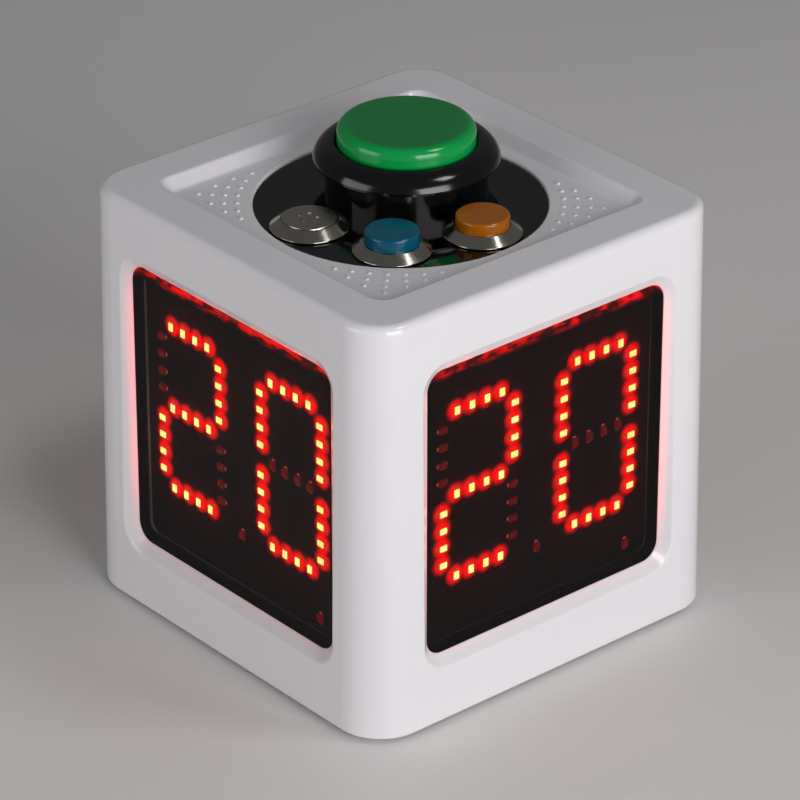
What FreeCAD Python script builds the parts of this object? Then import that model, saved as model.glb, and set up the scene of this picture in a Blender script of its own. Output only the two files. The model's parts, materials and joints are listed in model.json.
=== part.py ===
import FreeCAD, Part
import math
import os

import Sketcher

# A four-sided game clock: a white moulded cube with a tinted window and a dot-matrix display on each
# side, and a black plate on top that carries one large push button and three small metal ones.
# Frame: millimetres, +Z up, origin under the middle of the cube on the plane its feet stand on.
# The front is -Y. The four sides are alike and follow each other round the Z axis.

# ---------------------------------------------------------------- driving dimensions (mm, degrees)
SIZES = {
    # case
    "shell_bottom": 1.2, "shell_top": 111.2, "shell_half": 56.4, "shell_corner": 12.3,
    "shell_draft": 0.73, "top_edge": 2.2, "bottom_edge": 0.6, "cavity_half": 52.9,
    "cavity_corner": 9.5, "cavity_roof": 106.1, "well_half": 42.5, "well_depth": 2.9,
    "well_corner": 4.6, "well_slope": 45, "well_edge": 1.2, "hole_radius": 35.9, "hole_edge": 0.4,
    "bump_radius": 0.6, "bump_height": 0.4, "bump_dome": 0.36, "bump_ring": 39.6,
    "bump_pitch": 3.22, "bump_step": 6.2,
    # windows and displays
    "window_wide": 37.7, "window_high": 38.3, "window_z": 56.7, "window_corner": 4.8,
    "window_face": 53.6, "window_thick": 1.6, "window_ledge": 1.3, "window_gap": 0.1,
    "window_run": 2.8, "recess_edge": 1.2, "seat_edge": 0.3, "well_foot": 1.5,
    "frame_back": 50.4, "frame_rim": 3.8, "frame_deep": 3.0,
    "board_thick": 1.6, "board_rim": 3.0, "board_corner": 1.5,
    "screw_in": 1.25, "display_hole": 0.95, "display_shank": 0.9, "display_clear": 1.2,
    "digit_z": 58.4, "digit_x": 19.1, "digit_half": 11.2, "led_pitch": 4.7,
    "led_across": 2.0, "led_along": 1.45, "led_high": 0.8,
    "point_z": 34.0, "point_x": 0.0, "corner_point_z": 23.8, "corner_point_x": 29.5,
    "plug_z": 27.0, "plug_half": 6.0, "plug_rise": 2.5, "plug_deep": 5.0,
    # base
    "cover_half": 52.7, "cover_corner": 9.3, "cover_top": 3.6, "foot_at": 38.0, "foot_radius": 5.5,
    "foot_sink": 0.8, "boss_at": 47.3, "boss_radius": 4.6, "boss_high": 14.0,
    "screw_radius": 1.2, "screw_hole": 1.25, "screw_clear": 1.5, "screw_head": 2.5,
    "screw_seat": 2.7, "head_high": 1.1, "screw_long": 8.0, "cross_arm": 1.4, "cross_half": 0.3,
    "cross_deep": 0.7, "board_screw": 4.2,
    # top plate
    "plate_half": 48.0, "plate_corner": 6.0, "plate_bottom": 104.1, "plate_top": 107.6,
    "plate_disc": 35.7, "plate_screw_at": 44.0, "short_screw": 4.8,
    # large button
    "main_x": -7.85, "main_y": 8.6, "main_hole": 16.5, "collar_radius": 20.0,
    "collar_inner": 19.0, "collar_shelf": 111.0, "collar_top": 114.8,
    "rim_radius": 23.0, "rim_bottom": 114.9, "rim_top": 115.5, "dome_top": 119.6,
    "dome_radius": 5.6, "lip_radius": 18.0, "bore_radius": 17.5, "bore_floor": 112.4,
    "skirt_outer": 18.9, "barrel_outer": 16.4, "barrel_inner": 15.0, "barrel_bottom": 87.5,
    "ring_nut_radius": 20.5, "ring_nut_inner": 16.45, "ring_nut_high": 4.0, "notch_radius": 1.3,
    "cap_radius": 17.1, "cap_inner": 15.5, "cap_top": 124.2, "cap_roof": 122.0,
    "cap_skirt": 116.2, "cap_edge": 2.6, "stem_flange": 15.4, "stem_outer": 14.9,
    "stem_inner": 12.85, "stem_step": 116.4, "stem_roof": 120.5, "stem_bottom": 98.0,
    "web_inner": 8.6, "web_bottom": 102.0, "web_top": 103.5, "leg_in": 12.6, "leg_out": 14.6,
    "leg_half": 1.5, "leg_bottom": 86.0,
    "coil_radius": 10.2, "coil_wire": 0.5, "coil_pitch": 2.6, "holder_top": 90.5,
    "holder_radius": 14.95, "post_outer": 7.0, "post_inner": 5.0, "post_top": 106.0,
    "slot_in": 12.1, "slot_half": 1.9, "lamp_radius": 4.95, "lamp_bulb": 4.4, "lamp_foot": 89.0,
    "lamp_top": 112.0, "bracket_in": 3.35, "bracket_out": 5.2, "bracket_left": 4.2,
    "bracket_right": 16.0, "bracket_bottom": 73.0,
    # lever switch under the large button
    "switch_left": -1.0, "switch_right": 18.8, "switch_half": 3.2, "switch_top": 81.0,
    "switch_bottom": 70.8, "peg_low": 75.5, "peg_one": 9.0, "peg_two": 15.5, "peg_radius": 1.1,
    "peg_hole": 1.15, "hinge_x": 1.6, "hinge_z": 82.0, "lever_long": 14.0, "lever_half": 1.9,
    "lever_thick": 0.4, "lever_rise": 16.3, "lug_half": 3.2, "lug_thick": 0.9, "lug_reach": 1.1,
    "pivot_radius": 0.5, "pivot_hole": 0.56, "eye_radius": 1.0, "tappet_x": 5.8,
    "tappet_radius": 0.9, "tappet_hole": 0.96, "tappet_top": 82.4, "tappet_foot": 77.0,
    "tab_high": 4.0, "tab_thick": 0.5,
    # small metal buttons
    "small_ring": 25.4, "small_step": 55, "small_hole": 8.1, "gasket_outer": 9.2,
    "gasket_top": 107.9, "flange_radius": 9.7, "flange_edge": 108.1, "flange_top": 110.0,
    "flange_crown": 7.2, "small_bore": 6.75, "small_barrel": 8.0, "small_bottom": 88.0,
    "seat_top": 101.5, "seat_bottom": 98.0, "guide_bore": 3.6, "chamber_radius": 6.9,
    "key_radius": 6.6, "key_shoulder": 105.5, "key_stem": 3.52, "barb_radius": 4.3,
    "barb_top": 97.9, "barb_bottom": 96.4, "steel_top": 110.35, "blue_top": 113.2,
    "orange_top": 112.9, "small_coil": 5.2, "small_wire": 0.35, "small_pitch": 1.5,
    "hex_radius": 10.9, "hex_inner": 8.05, "hex_high": 3.0, "plug_radius": 6.85,
    "insert_top": 94.0, "insert_bottom": 86.0, "pin_long": 4.0, "pin_at": 3.2, "soft_edge": 0.2,
    "key_edge": 0.7, "steel_edge": 0.35, "mark_deep": 0.18,
    "mark_dot": 0.5, "mark_dot_across": 1.5, "mark_dot_up": 1.3, "mark_arc": 2.85,
    "mark_arc_inner": 2.4, "mark_arc_half": 65,
    # electronics on the base
    "pcb_half": 42.0, "pcb_front": -17.0, "pcb_rear": 51.0, "pcb_bottom": 6.0, "pcb_top": 7.6,
    "post_x": 37.0, "post_front": -12.0, "post_rear": 46.0, "post_radius": 3.0,
    "header_at": 36.0, "header_front": 13.0, "header_top": 13.6, "ribbon_wide": 10.0,
    "ribbon_thick": 0.9, "ribbon_bend": 3.0, "header_half": 2.5, "header_long": 6.0,
    "chip_high": 1.6, "buzzer_x": -25.0, "buzzer_y": 34.0, "buzzer_radius": 8.0,
    "buzzer_high": 8.0, "buzzer_port": 1.2, "can_x": 36.0, "can_one": 30.0, "can_two": 40.0,
    "can_radius": 3.15, "can_high": 11.0, "socket_x": 22.0, "socket_half": 4.47,
    "socket_rise": 1.63, "socket_round": 1.4, "socket_wall": 0.3, "socket_deep": 6.0,
    "tongue_half": 3.3, "tongue_rise": 0.35, "socket_face": 53.4, "socket_back": 46.1,
    "socket_gap": 0.25,
    "cell_radius": 9.2, "cell_half": 32.5, "cell_y": -34.0, "cell_z": 14.1,
    "cradle_half": 36.5, "cradle_wide": 10.8, "cradle_top": 14.1, "cradle_play": 0.15,
    "contact_thick": 0.4, "lead_radius": 1.0, "connector_y": 24.0, "connector_x": 12.0,
    "lead_pitch": 4.0,
}
CHIPS = [(-6, 4, 12, 12), (-24, -10, 12, 5.4), (-24, 16, 12, 5.4), (12, -10, 12, 5.4), (12, 16, 12, 5.4)]
TURNS = {"front": 0, "right": 90, "back": 180, "left": 270}
SMALL_BUTTONS = {"steel": -1, "blue": 0, "orange": 1}
LIT = {-1: "abged", 1: "abcdef"}
SEGMENTS = {
    "a": (0, 1, "flat"), "g": (0, 0, "flat"), "d": (0, -1, "flat"),
    "f": (-1, 0.5, "upright"), "b": (1, 0.5, "upright"),
    "e": (-1, -0.5, "upright"), "c": (1, -0.5, "upright"),
}

doc = FreeCAD.newDocument("game_clock")
sheet = doc.addObject("Spreadsheet::Sheet", "Sizes")
for row, (alias, number) in enumerate(SIZES.items(), start=1):
    sheet.set(f"A{row}", alias)
    sheet.set(f"B{row}", str(number))
    sheet.setAlias(f"B{row}", alias)
doc.recompute()

nodes = []


# ---------------------------------------------------------------- helpers
def number(expression):
    """The value of a sum of sheet names and numbers, such as 'plate_top - 2'."""
    total = 0.0
    sign = 1.0
    for word in expression.split():
        if word == "+":
            sign = 1.0
        elif word == "-":
            sign = -1.0
        else:
            total += sign * (SIZES[word] if word in SIZES else float(word))
            sign = 1.0
    return total


def bound(expression):
    """The same sum as a FreeCAD expression on the sheet's cells."""
    return " ".join(f"Sizes.{word}" if word in SIZES else word for word in expression.split())


def opposite(expression):
    """The same sum with every sign turned."""
    turned_signs = {"+": "-", "-": "+"}
    return "0 - " + " ".join(turned_signs.get(word, word) for word in expression.split())


def signed(sign, expression):
    return expression if sign > 0 else opposite(expression)


def plain(value):
    """A worked-out number as a sum that the helpers take."""
    return f"{value:.4f}" if value >= 0 else f"0 - {-value:.4f}"


def keep(node):
    """Counts an object as a finished sub-part."""
    nodes.append(node)
    return node


def new_body(label):
    body = doc.addObject("PartDesign::Body", label)
    body.Label = label
    body.AllowCompound = True
    return body


def sketch_on(body, role, offset="0"):
    """A sketch on one of the body's origin planes, moved along the plane's normal by offset.

    XZ_Plane faces -Y, so its offset counts towards the front.
    """
    sketch = body.newObject("Sketcher::SketchObject", f"{body.Name}_sketch")
    plane = next(item for item in body.Origin.OriginFeatures if item.Role == role)
    sketch.AttachmentSupport = [(plane, "")]
    sketch.MapMode = "FlatFace"
    sketch.AttachmentOffset = FreeCAD.Placement(FreeCAD.Vector(0, 0, number(offset)), FreeCAD.Rotation())
    sketch.setExpression("AttachmentOffset.Base.z", bound(offset))
    return sketch


def pin_vertex(sketch, edge, end, across, up):
    """Holds one end of an edge at a place given by two sums of sheet names."""
    for kind, expression in (("DistanceX", across), ("DistanceY", up)):
        index = sketch.addConstraint(Sketcher.Constraint(kind, -1, 1, edge, end, number(expression)))
        sketch.setExpression(f"Constraints[{index}]", bound(expression))


def bulge(start, finish, radius):
    """The arc of a radius that swells to the right of the way from start to finish."""
    half = (finish - start) * 0.5
    aside = FreeCAD.Vector(half.y, -half.x, 0).normalize()
    swell = radius - math.sqrt(radius ** 2 - half.Length ** 2)
    return Part.Arc(start, start + half + aside * swell, finish)


def outline(sketch, corners):
    """A closed outline, each corner held at its place.

    A corner is (across, up), or (across, up, radius) where an arc goes on from it.
    """
    places = [FreeCAD.Vector(number(across), number(up), 0) for across, up, *bend in corners]
    first = None
    for index, (across, up, *bend) in enumerate(corners):
        following = places[(index + 1) % len(places)]
        if bend:
            side = bulge(places[index], following, number(bend[0]))
        else:
            side = Part.LineSegment(places[index], following)
        edge = sketch.addGeometry(side, False)
        first = edge if first is None else first
        if edge > first:
            sketch.addConstraint(Sketcher.Constraint("Coincident", edge - 1, 2, edge, 1))
    sketch.addConstraint(Sketcher.Constraint("Coincident", first + len(places) - 1, 2, first, 1))
    for index, (across, up, *bend) in enumerate(corners):
        pin_vertex(sketch, first + index, 1, across, up)
        if bend:
            held = sketch.addConstraint(Sketcher.Constraint("Radius", first + index, number(bend[0])))
            sketch.setExpression(f"Constraints[{held}]", bound(bend[0]))


def box_outline(sketch, left, right, low, high):
    outline(sketch, [(left, low), (right, low), (right, high), (left, high)])


def circle(sketch, radius, across="0", up="0"):
    centre = FreeCAD.Vector(number(across), number(up), 0)
    edge = sketch.addGeometry(Part.Circle(centre, FreeCAD.Vector(0, 0, 1), number(radius)), False)
    index = sketch.addConstraint(Sketcher.Constraint("Radius", edge, number(radius)))
    sketch.setExpression(f"Constraints[{index}]", bound(radius))
    pin_vertex(sketch, edge, 3, across, up)


def rounded_box(sketch, wide, high, radius, across="0", up="0"):
    """A rectangle of half sizes wide and high about a centre, with rounded corners."""
    half = FreeCAD.Vector(number(wide), number(high), 0)
    bend = number(radius)
    middle = FreeCAD.Vector(number(across), number(up), 0)
    first = None
    for quarter in range(4):
        side = (1 if quarter in (0, 3) else -1, 1 if quarter in (0, 1) else -1)
        centre = middle + FreeCAD.Vector(side[0] * (half.x - bend), side[1] * (half.y - bend), 0)
        start = quarter * math.pi / 2
        arc = Part.ArcOfCircle(
            Part.Circle(centre, FreeCAD.Vector(0, 0, 1), bend), start, start + math.pi / 2)
        edge = sketch.addGeometry(arc, False)
        first = edge if first is None else first
    for quarter in range(4):
        begin = sketch.Geometry[first + quarter].EndPoint
        finish = sketch.Geometry[first + (quarter + 1) % 4].StartPoint
        line = sketch.addGeometry(Part.LineSegment(begin, finish), False)
        sketch.addConstraint(Sketcher.Constraint("Tangent", first + quarter, 2, line, 1))
        sketch.addConstraint(Sketcher.Constraint("Tangent", line, 2, first + (quarter + 1) % 4, 1))
        direction = "Horizontal" if quarter in (0, 2) else "Vertical"
        sketch.addConstraint(Sketcher.Constraint(direction, line))
    for quarter in range(1, 4):
        sketch.addConstraint(Sketcher.Constraint("Equal", first, first + quarter))
    index = sketch.addConstraint(Sketcher.Constraint("Radius", first, bend))
    sketch.setExpression(f"Constraints[{index}]", bound(radius))
    less = opposite(radius)
    pin_vertex(sketch, first, 3, f"{across} + {wide} + {less}", f"{up} + {high} + {less}")
    pin_vertex(sketch, first + 2, 3, f"{across} + {opposite(wide)} + {radius}",
               f"{up} + {opposite(high)} + {radius}")


def pad(body, sketch, length, backwards=False, taper=None, middle=False):
    feature = body.newObject("PartDesign::Pad", f"{body.Name}_pad")
    feature.Profile = sketch
    feature.Length = number(length)
    feature.setExpression("Length", bound(length))
    feature.Reversed = backwards
    feature.Midplane = middle
    if taper:
        feature.TaperAngle = number(taper)
        feature.setExpression("TaperAngle", bound(taper))
    sketch.Visibility = False
    return feature


def pocket(body, sketch, length, forwards=False, taper=None, middle=False):
    """Cuts a sketch into the body, against the sketch's normal or, forwards, along it."""
    doc.recompute()
    before = body.Shape.Volume
    feature = body.newObject("PartDesign::Pocket", f"{body.Name}_pocket")
    feature.Profile = sketch
    feature.Length = number(length)
    feature.setExpression("Length", bound(length))
    feature.Reversed = forwards
    feature.Midplane = middle
    if taper:
        feature.TaperAngle = number(taper)
        feature.setExpression("TaperAngle", bound(taper))
    doc.recompute()
    if body.Shape.Volume >= before - 1e-6:
        raise RuntimeError(f"{feature.Name} cuts nothing from {body.Label}")
    return feature


def turned(body, sketch):
    """A full turn of the sketch about the upright axis."""
    feature = body.newObject("PartDesign::Revolution", f"{body.Name}_turn")
    feature.Profile = sketch
    feature.ReferenceAxis = (sketch, ["V_Axis"])
    feature.Angle = 360
    return feature


def around(body, features, count):
    """Repeats features evenly round the upright axis."""
    doc.recompute()
    pattern = body.newObject("PartDesign::PolarPattern", f"{body.Name}_polar")
    pattern.Originals = features
    pattern.Axis = (next(item for item in body.Origin.OriginFeatures if item.Role == "Z_Axis"), [""])
    pattern.Angle = 360
    pattern.Occurrences = count
    body.Tip = pattern
    doc.recompute()
    return pattern


def edges_at(shape, height, radius=None, reach=None):
    """Names of the level edges at a height, of a given radius or within a reach if one is stated."""
    found = []
    for index, edge in enumerate(shape.Edges, start=1):
        box = edge.BoundBox
        level = abs(box.ZMin - height) < 0.01 and abs(box.ZMax - height) < 0.01
        round_enough = radius is None or (
            hasattr(edge.Curve, "Radius") and abs(edge.Curve.Radius - radius) < 0.01)
        near_enough = reach is None or max(abs(box.Center.x), abs(box.Center.y)) < reach
        if level and round_enough and near_enough:
            found.append(f"Edge{index}")
    return found


def round_off(body, height, radius, size, reach=None):
    """Fillets the body's level edges at a height."""
    doc.recompute()
    shape = body.Tip.Shape
    return fillet(body, edges_at(shape, number(height), None if radius is None else number(radius),
                                 None if reach is None else number(reach)), size)


def fillet(body, names, size):
    base = body.Tip
    if not names:
        raise RuntimeError(f"no edges to round on {body.Label}")
    feature = body.newObject("PartDesign::Fillet", f"{body.Name}_fillet")
    feature.Base = (base, names)
    feature.Radius = number(size)
    feature.setExpression("Radius", bound(size))
    doc.recompute()
    return feature


def stand_at(item, across, along):
    """Moves a sub-part that was made on the origin's axis to its own axis."""
    item.Placement.Base = FreeCAD.Vector(number(across), number(along), 0)
    item.setExpression("Placement.Base.x", bound(across))
    item.setExpression("Placement.Base.y", bound(along))


def face_side(item, side):
    """Turns a sub-part that was made on the front to another side."""
    item.Placement = FreeCAD.Placement(
        FreeCAD.Vector(0, 0, 0), FreeCAD.Rotation(FreeCAD.Vector(0, 0, 1), TURNS[side]))


def group(label, members):
    """One sub-part of several separate solids."""
    compound = doc.addObject("Part::Compound", label)
    compound.Label = label
    compound.Links = members
    return keep(compound)


def block(label, left, right, front, rear, low, high):
    """A plain block between six planes."""
    box = doc.addObject("Part::Box", label)
    for place, start, finish, size in (
            ("x", left, right, "Length"), ("y", front, rear, "Width"), ("z", low, high, "Height")):
        box.setExpression(f"Placement.Base.{place}", bound(start))
        box.setExpression(size, f"{bound(finish)} - ({bound(start)})")
    return box


def corner_signs():
    return [(1, 1), (-1, 1), (-1, -1), (1, -1)]


# ---------------------------------------------------------------- the case
def wall_at(height):
    """How far the drafted side stands from the middle at a height."""
    drawn_in = (height - SIZES["shell_bottom"]) * math.tan(math.radians(SIZES["shell_draft"]))
    return SIZES["shell_half"] - drawn_in


def recess_outline(body):
    """The recess's wider outline, on a plane that leans with the front's drafted wall."""
    sketch = sketch_on(body, "XZ_Plane")
    sketch.AttachmentOffset = FreeCAD.Placement(
        FreeCAD.Vector(0, number("window_z"), wall_at(number("window_z"))),
        FreeCAD.Rotation(FreeCAD.Vector(1, 0, 0), -SIZES["shell_draft"]))
    sketch.setExpression("AttachmentOffset.Base.y", "Sizes.window_z")
    sketch.setExpression(
        "AttachmentOffset.Base.z",
        "Sizes.shell_half - (Sizes.window_z - Sizes.shell_bottom) * tan(Sizes.shell_draft)")
    rounded_box(sketch, "window_wide + window_run", "window_high + window_run", "window_corner + window_run")
    return sketch


def recess_edges(shape, out_at, run):
    """Names of the windows' edges that stand out_at(height) from the middle, widened by run."""
    found = []
    for index, edge in enumerate(shape.Edges, start=1):
        points = edge.discretize(5)
        far_out = all(abs(max(abs(at.x), abs(at.y)) - out_at(at.z)) < 0.01 for at in points)
        inside = all(min(abs(at.x), abs(at.y)) < SIZES["window_wide"] + run + 0.1 for at in points)
        between = all(abs(at.z - SIZES["window_z"]) < SIZES["window_high"] + run + 0.1 for at in points)
        if far_out and inside and between:
            found.append(f"Edge{index}")
    return found


def make_housing():
    """White shell: drafted cube, open below, with four window frames and the round top hole."""
    body = new_body("housing")
    base = sketch_on(body, "XY_Plane", "shell_bottom")
    rounded_box(base, "shell_half", "shell_half", "shell_corner")
    pad(body, base, "shell_top - shell_bottom", taper="0 - shell_draft")
    round_off(body, "shell_top", None, "top_edge")
    round_off(body, "shell_bottom", None, "bottom_edge")

    cavity = sketch_on(body, "XY_Plane", "shell_bottom")
    rounded_box(cavity, "cavity_half", "cavity_half", "cavity_corner")
    pocket(body, cavity, "cavity_roof - shell_bottom", forwards=True)

    well = sketch_on(body, "XY_Plane", "shell_top")
    rounded_box(well, "well_half", "well_half", "well_corner")
    pocket(body, well, "well_depth", taper="0 - well_slope")
    round_off(body, "shell_top - well_depth", None, "well_foot")

    hole = sketch_on(body, "XY_Plane", "shell_top")
    circle(hole, "hole_radius")
    pocket(body, hole, "shell_top - cavity_roof + 1")
    round_off(body, "shell_top", None, "well_edge", reach="well_half + well_depth + 1")
    round_off(body, "shell_top - well_depth", "hole_radius", "hole_edge")

    bumps = sketch_on(body, "XY_Plane", "shell_top - well_depth")
    for row in range(4):
        count = 7 - 2 * row
        radius = SIZES["bump_ring"] + row * SIZES["bump_pitch"]
        for place in range(count):
            angle = math.radians(45 + (place - (count - 1) / 2) * SIZES["bump_step"])
            centre = FreeCAD.Vector(radius * math.cos(angle), radius * math.sin(angle), 0)
            bumps.addGeometry(Part.Circle(centre, FreeCAD.Vector(0, 0, 1), SIZES["bump_radius"]), False)
    bump_pad = pad(body, bumps, "bump_height")

    frame = sketch_on(body, "XZ_Plane", "frame_back")
    rounded_box(frame, "window_wide + frame_rim", "window_high + frame_rim", "window_corner",
                up="window_z")
    frame_pad = pad(body, frame, "frame_deep")

    recess = sketch_on(body, "XZ_Plane", "window_face")
    rounded_box(recess, "window_wide", "window_high", "window_corner", up="window_z")
    recess_cut = body.newObject("PartDesign::SubtractiveLoft", "recess_loft")
    recess_cut.Profile = recess
    recess_cut.Sections = [recess_outline(body)]
    recess_cut.Ruled = True

    seat = sketch_on(body, "XZ_Plane", "window_face")
    rounded_box(seat, "window_wide", "window_high", "window_corner", up="window_z")
    seat_cut = pocket(body, seat, "window_thick")

    light = sketch_on(body, "XZ_Plane", "window_face - window_thick")
    rounded_box(light, "window_wide - window_ledge", "window_high - window_ledge",
                "window_corner - window_ledge", up="window_z")
    light_cut = pocket(body, light, "3")

    holes = sketch_on(body, "XZ_Plane", "frame_back")
    for across, up in corner_signs():
        circle(holes, "display_hole", signed(across, "window_wide + screw_in"),
               f"window_z + {signed(up, 'window_high + screw_in')}")
    holes_cut = pocket(body, holes, "2.4", forwards=True)
    around(body, [bump_pad, frame_pad, recess_cut, seat_cut, light_cut, holes_cut], 4)
    round_off(body, "shell_top - well_depth + bump_height", "bump_radius", "bump_dome")
    fillet(body, recess_edges(body.Tip.Shape, wall_at, SIZES["window_run"]), "recess_edge")
    fillet(body, recess_edges(body.Tip.Shape, lambda height: SIZES["window_face"], 0), "seat_edge")

    bosses = sketch_on(body, "XY_Plane", "cover_top")
    for across, along in corner_signs():
        circle(bosses, "boss_radius", signed(across, "boss_at"), signed(along, "boss_at"))
    pad(body, bosses, "boss_high")
    threads = sketch_on(body, "XY_Plane", "cover_top")
    for across, along in corner_signs():
        circle(threads, "screw_hole", signed(across, "boss_at"), signed(along, "boss_at"))
    pocket(body, threads, "screw_long", forwards=True)

    plate_holes = sketch_on(body, "XY_Plane", "cavity_roof")
    for across, along in corner_signs():
        circle(plate_holes, "screw_hole", signed(across, "plate_screw_at"), signed(along, "plate_screw_at"))
    pocket(body, plate_holes, "3.6", forwards=True)

    inlet = sketch_on(body, "XZ_Plane", "0 - cavity_half + 2")
    rounded_box(inlet, "socket_half + socket_gap", "socket_rise + socket_gap",
                "socket_round + 0.1", "socket_x", "pcb_top + socket_rise")
    pocket(body, inlet, "8")
    return keep(body)


def make_windows():
    """Four dark red acrylic windows, each let into its frame from outside."""
    for side in TURNS:
        body = new_body(f"window_{side}")
        face = sketch_on(body, "XZ_Plane", "window_face")
        rounded_box(face, "window_wide - window_gap", "window_high - window_gap",
                    "window_corner - window_gap", up="window_z")
        pad(body, face, "window_thick", backwards=True)
        face_side(body, side)
        keep(body)


def make_base():
    """Bottom cover with its board posts, four feet let into it, and its screws."""
    body = new_body("base_cover")
    sheet_sketch = sketch_on(body, "XY_Plane", "shell_bottom")
    rounded_box(sheet_sketch, "cover_half", "cover_half", "cover_corner")
    pad(body, sheet_sketch, "cover_top - shell_bottom")
    posts = sketch_on(body, "XY_Plane", "cover_top")
    for across in (1, -1):
        for along in ("post_front", "post_rear"):
            circle(posts, "post_radius", signed(across, "post_x"), along)
    pad(body, posts, "pcb_bottom - cover_top")
    cuts = (("foot_radius + 0.1", "foot_at", "foot_sink"), ("screw_clear", "boss_at", "3"),
            ("screw_seat", "boss_at", "head_high + 0.1"))
    for radius, at, deep in cuts:
        cut = sketch_on(body, "XY_Plane", "shell_bottom")
        for across, along in corner_signs():
            circle(cut, radius, signed(across, at), signed(along, at))
        pocket(body, cut, deep, forwards=True)
    threads = sketch_on(body, "XY_Plane", "pcb_bottom")
    for across in (1, -1):
        for along in ("post_front", "post_rear"):
            circle(threads, "screw_hole", signed(across, "post_x"), along)
    pocket(body, threads, "3.2")
    keep(body)

    feet = new_body("feet")
    pads = sketch_on(feet, "XY_Plane")
    for across, along in corner_signs():
        circle(pads, "foot_radius", signed(across, "foot_at"), signed(along, "foot_at"))
    pad(feet, pads, "shell_bottom + foot_sink")
    round_off(feet, "0", "foot_radius", "0.5")
    keep(feet)


def cross_slot(sketch, across, up):
    """A cross recess about a screw's axis."""
    arm = "cross_arm"
    half = "cross_half"
    turns = [(1, half, 1, arm), (1, half, 1, half), (1, arm, 1, half), (1, arm, -1, half),
             (1, half, -1, half), (1, half, -1, arm), (-1, half, -1, arm), (-1, half, -1, half),
             (-1, arm, -1, half), (-1, arm, 1, half), (-1, half, 1, half), (-1, half, 1, arm)]
    outline(sketch, [(f"{across} + {signed(side, x)}", f"{up} + {signed(rise, y)}")
                     for side, x, rise, y in turns])


def make_screws(label, role, seat, places, length, outwards, sides=1):
    """Cross-head screws whose heads bear on the plane seat and whose shanks go outwards or back."""
    body = new_body(label)
    heads = sketch_on(body, role, seat)
    shanks = sketch_on(body, role, seat)
    for across, up in places:
        circle(heads, "screw_head", across, up)
        circle(shanks, "display_shank" if sides > 1 else "screw_radius", across, up)
    head_pad = pad(body, heads, "head_high", backwards=outwards)
    shank_pad = pad(body, shanks, length, backwards=not outwards)
    slots = sketch_on(body, role, f"{seat} - head_high" if outwards else f"{seat} + head_high")
    for across, up in places:
        cross_slot(slots, across, up)
    slot_cut = pocket(body, slots, "cross_deep", forwards=outwards)
    if sides > 1:
        around(body, [head_pad, shank_pad, slot_cut], sides)
    return keep(body)


def all_screws():
    corners = corner_signs()
    make_screws("base_screws", "XY_Plane", "shell_bottom + head_high + 0.1",
                [(signed(x, "boss_at"), signed(y, "boss_at")) for x, y in corners], "screw_long", True)
    make_screws("plate_screws", "XY_Plane", "plate_bottom",
                [(signed(x, "plate_screw_at"), signed(y, "plate_screw_at")) for x, y in corners],
                "short_screw", True)
    make_screws("display_screws", "XZ_Plane", "frame_back - board_thick",
                [(signed(x, "window_wide + screw_in"),
                  f"window_z + {signed(y, 'window_high + screw_in')}") for x, y in corners],
                "board_thick + 2", True, sides=4)
    make_screws("board_screws", "XY_Plane", "pcb_top",
                [(signed(x, "post_x"), y) for x in (1, -1) for y in ("post_front", "post_rear")],
                "board_screw", False)


# ---------------------------------------------------------------- the displays
def led_places(lit):
    """Places and directions of the lamps of the two digits, lit or unlit, and the points if unlit."""
    places = []
    for digit, names in LIT.items():
        for name, (across, up, lie) in SEGMENTS.items():
            if (name in names) != lit:
                continue
            for step in (-1.5, -0.5, 0.5, 1.5):
                along = step * SIZES["led_pitch"]
                x = digit * SIZES["digit_x"] + across * SIZES["digit_half"]
                z = SIZES["digit_z"] + 2 * up * SIZES["digit_half"]
                x += along if lie == "flat" else 0
                z += along if lie == "upright" else 0
                places.append((x, z, lie))
    if not lit:
        places.append((SIZES["point_x"], SIZES["point_z"], "flat"))
        places.append((SIZES["corner_point_x"], SIZES["corner_point_z"], "flat"))
    return places


def make_lamps(side, lit):
    """The small lamps of one display, each a separate chip that stands on the board's face."""
    body = new_body(f"leds_{'lit' if lit else 'unlit'}_{side}")
    faces = sketch_on(body, "XZ_Plane", "frame_back")
    for x, z, lie in led_places(lit):
        across = SIZES["led_across"] / 2
        along = SIZES["led_along"] / 2
        half = (along, across) if lie == "flat" else (across, along)
        corners = [FreeCAD.Vector(x + sx * half[0], z + sz * half[1], 0)
                   for sx, sz in ((-1, -1), (1, -1), (1, 1), (-1, 1))]
        for index, corner in enumerate(corners):
            faces.addGeometry(Part.LineSegment(corner, corners[(index + 1) % 4]), False)
    pad(body, faces, "led_high")
    face_side(body, side)
    keep(body)


def make_displays():
    for side in TURNS:
        body = new_body(f"display_board_{side}")
        face = sketch_on(body, "XZ_Plane", "frame_back")
        rounded_box(face, "window_wide + board_rim", "window_high + board_rim", "board_corner",
                    up="window_z")
        for across, up in corner_signs():
            circle(face, "display_clear", signed(across, "window_wide + screw_in"),
                   f"window_z + {signed(up, 'window_high + screw_in')}")
        pad(body, face, "board_thick", backwards=True)
        face_side(body, side)
        keep(body)
        make_lamps(side, True)
        make_lamps(side, False)

    plugs = new_body("display_plugs")
    faces = sketch_on(plugs, "XZ_Plane", "frame_back - board_thick")
    box_outline(faces, "0 - plug_half", "plug_half", "plug_z - plug_rise", "plug_z + plug_rise")
    first = pad(plugs, faces, "plug_deep", backwards=True)
    around(plugs, [first], 4)
    keep(plugs)


# ---------------------------------------------------------------- the top plate and large button
def small_place(index):
    """Centre of a small button, by its place on the arc about the middle of the plate."""
    angle = math.radians(-45 + index * SIZES["small_step"])
    return SIZES["small_ring"] * math.cos(angle), SIZES["small_ring"] * math.sin(angle)


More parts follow.
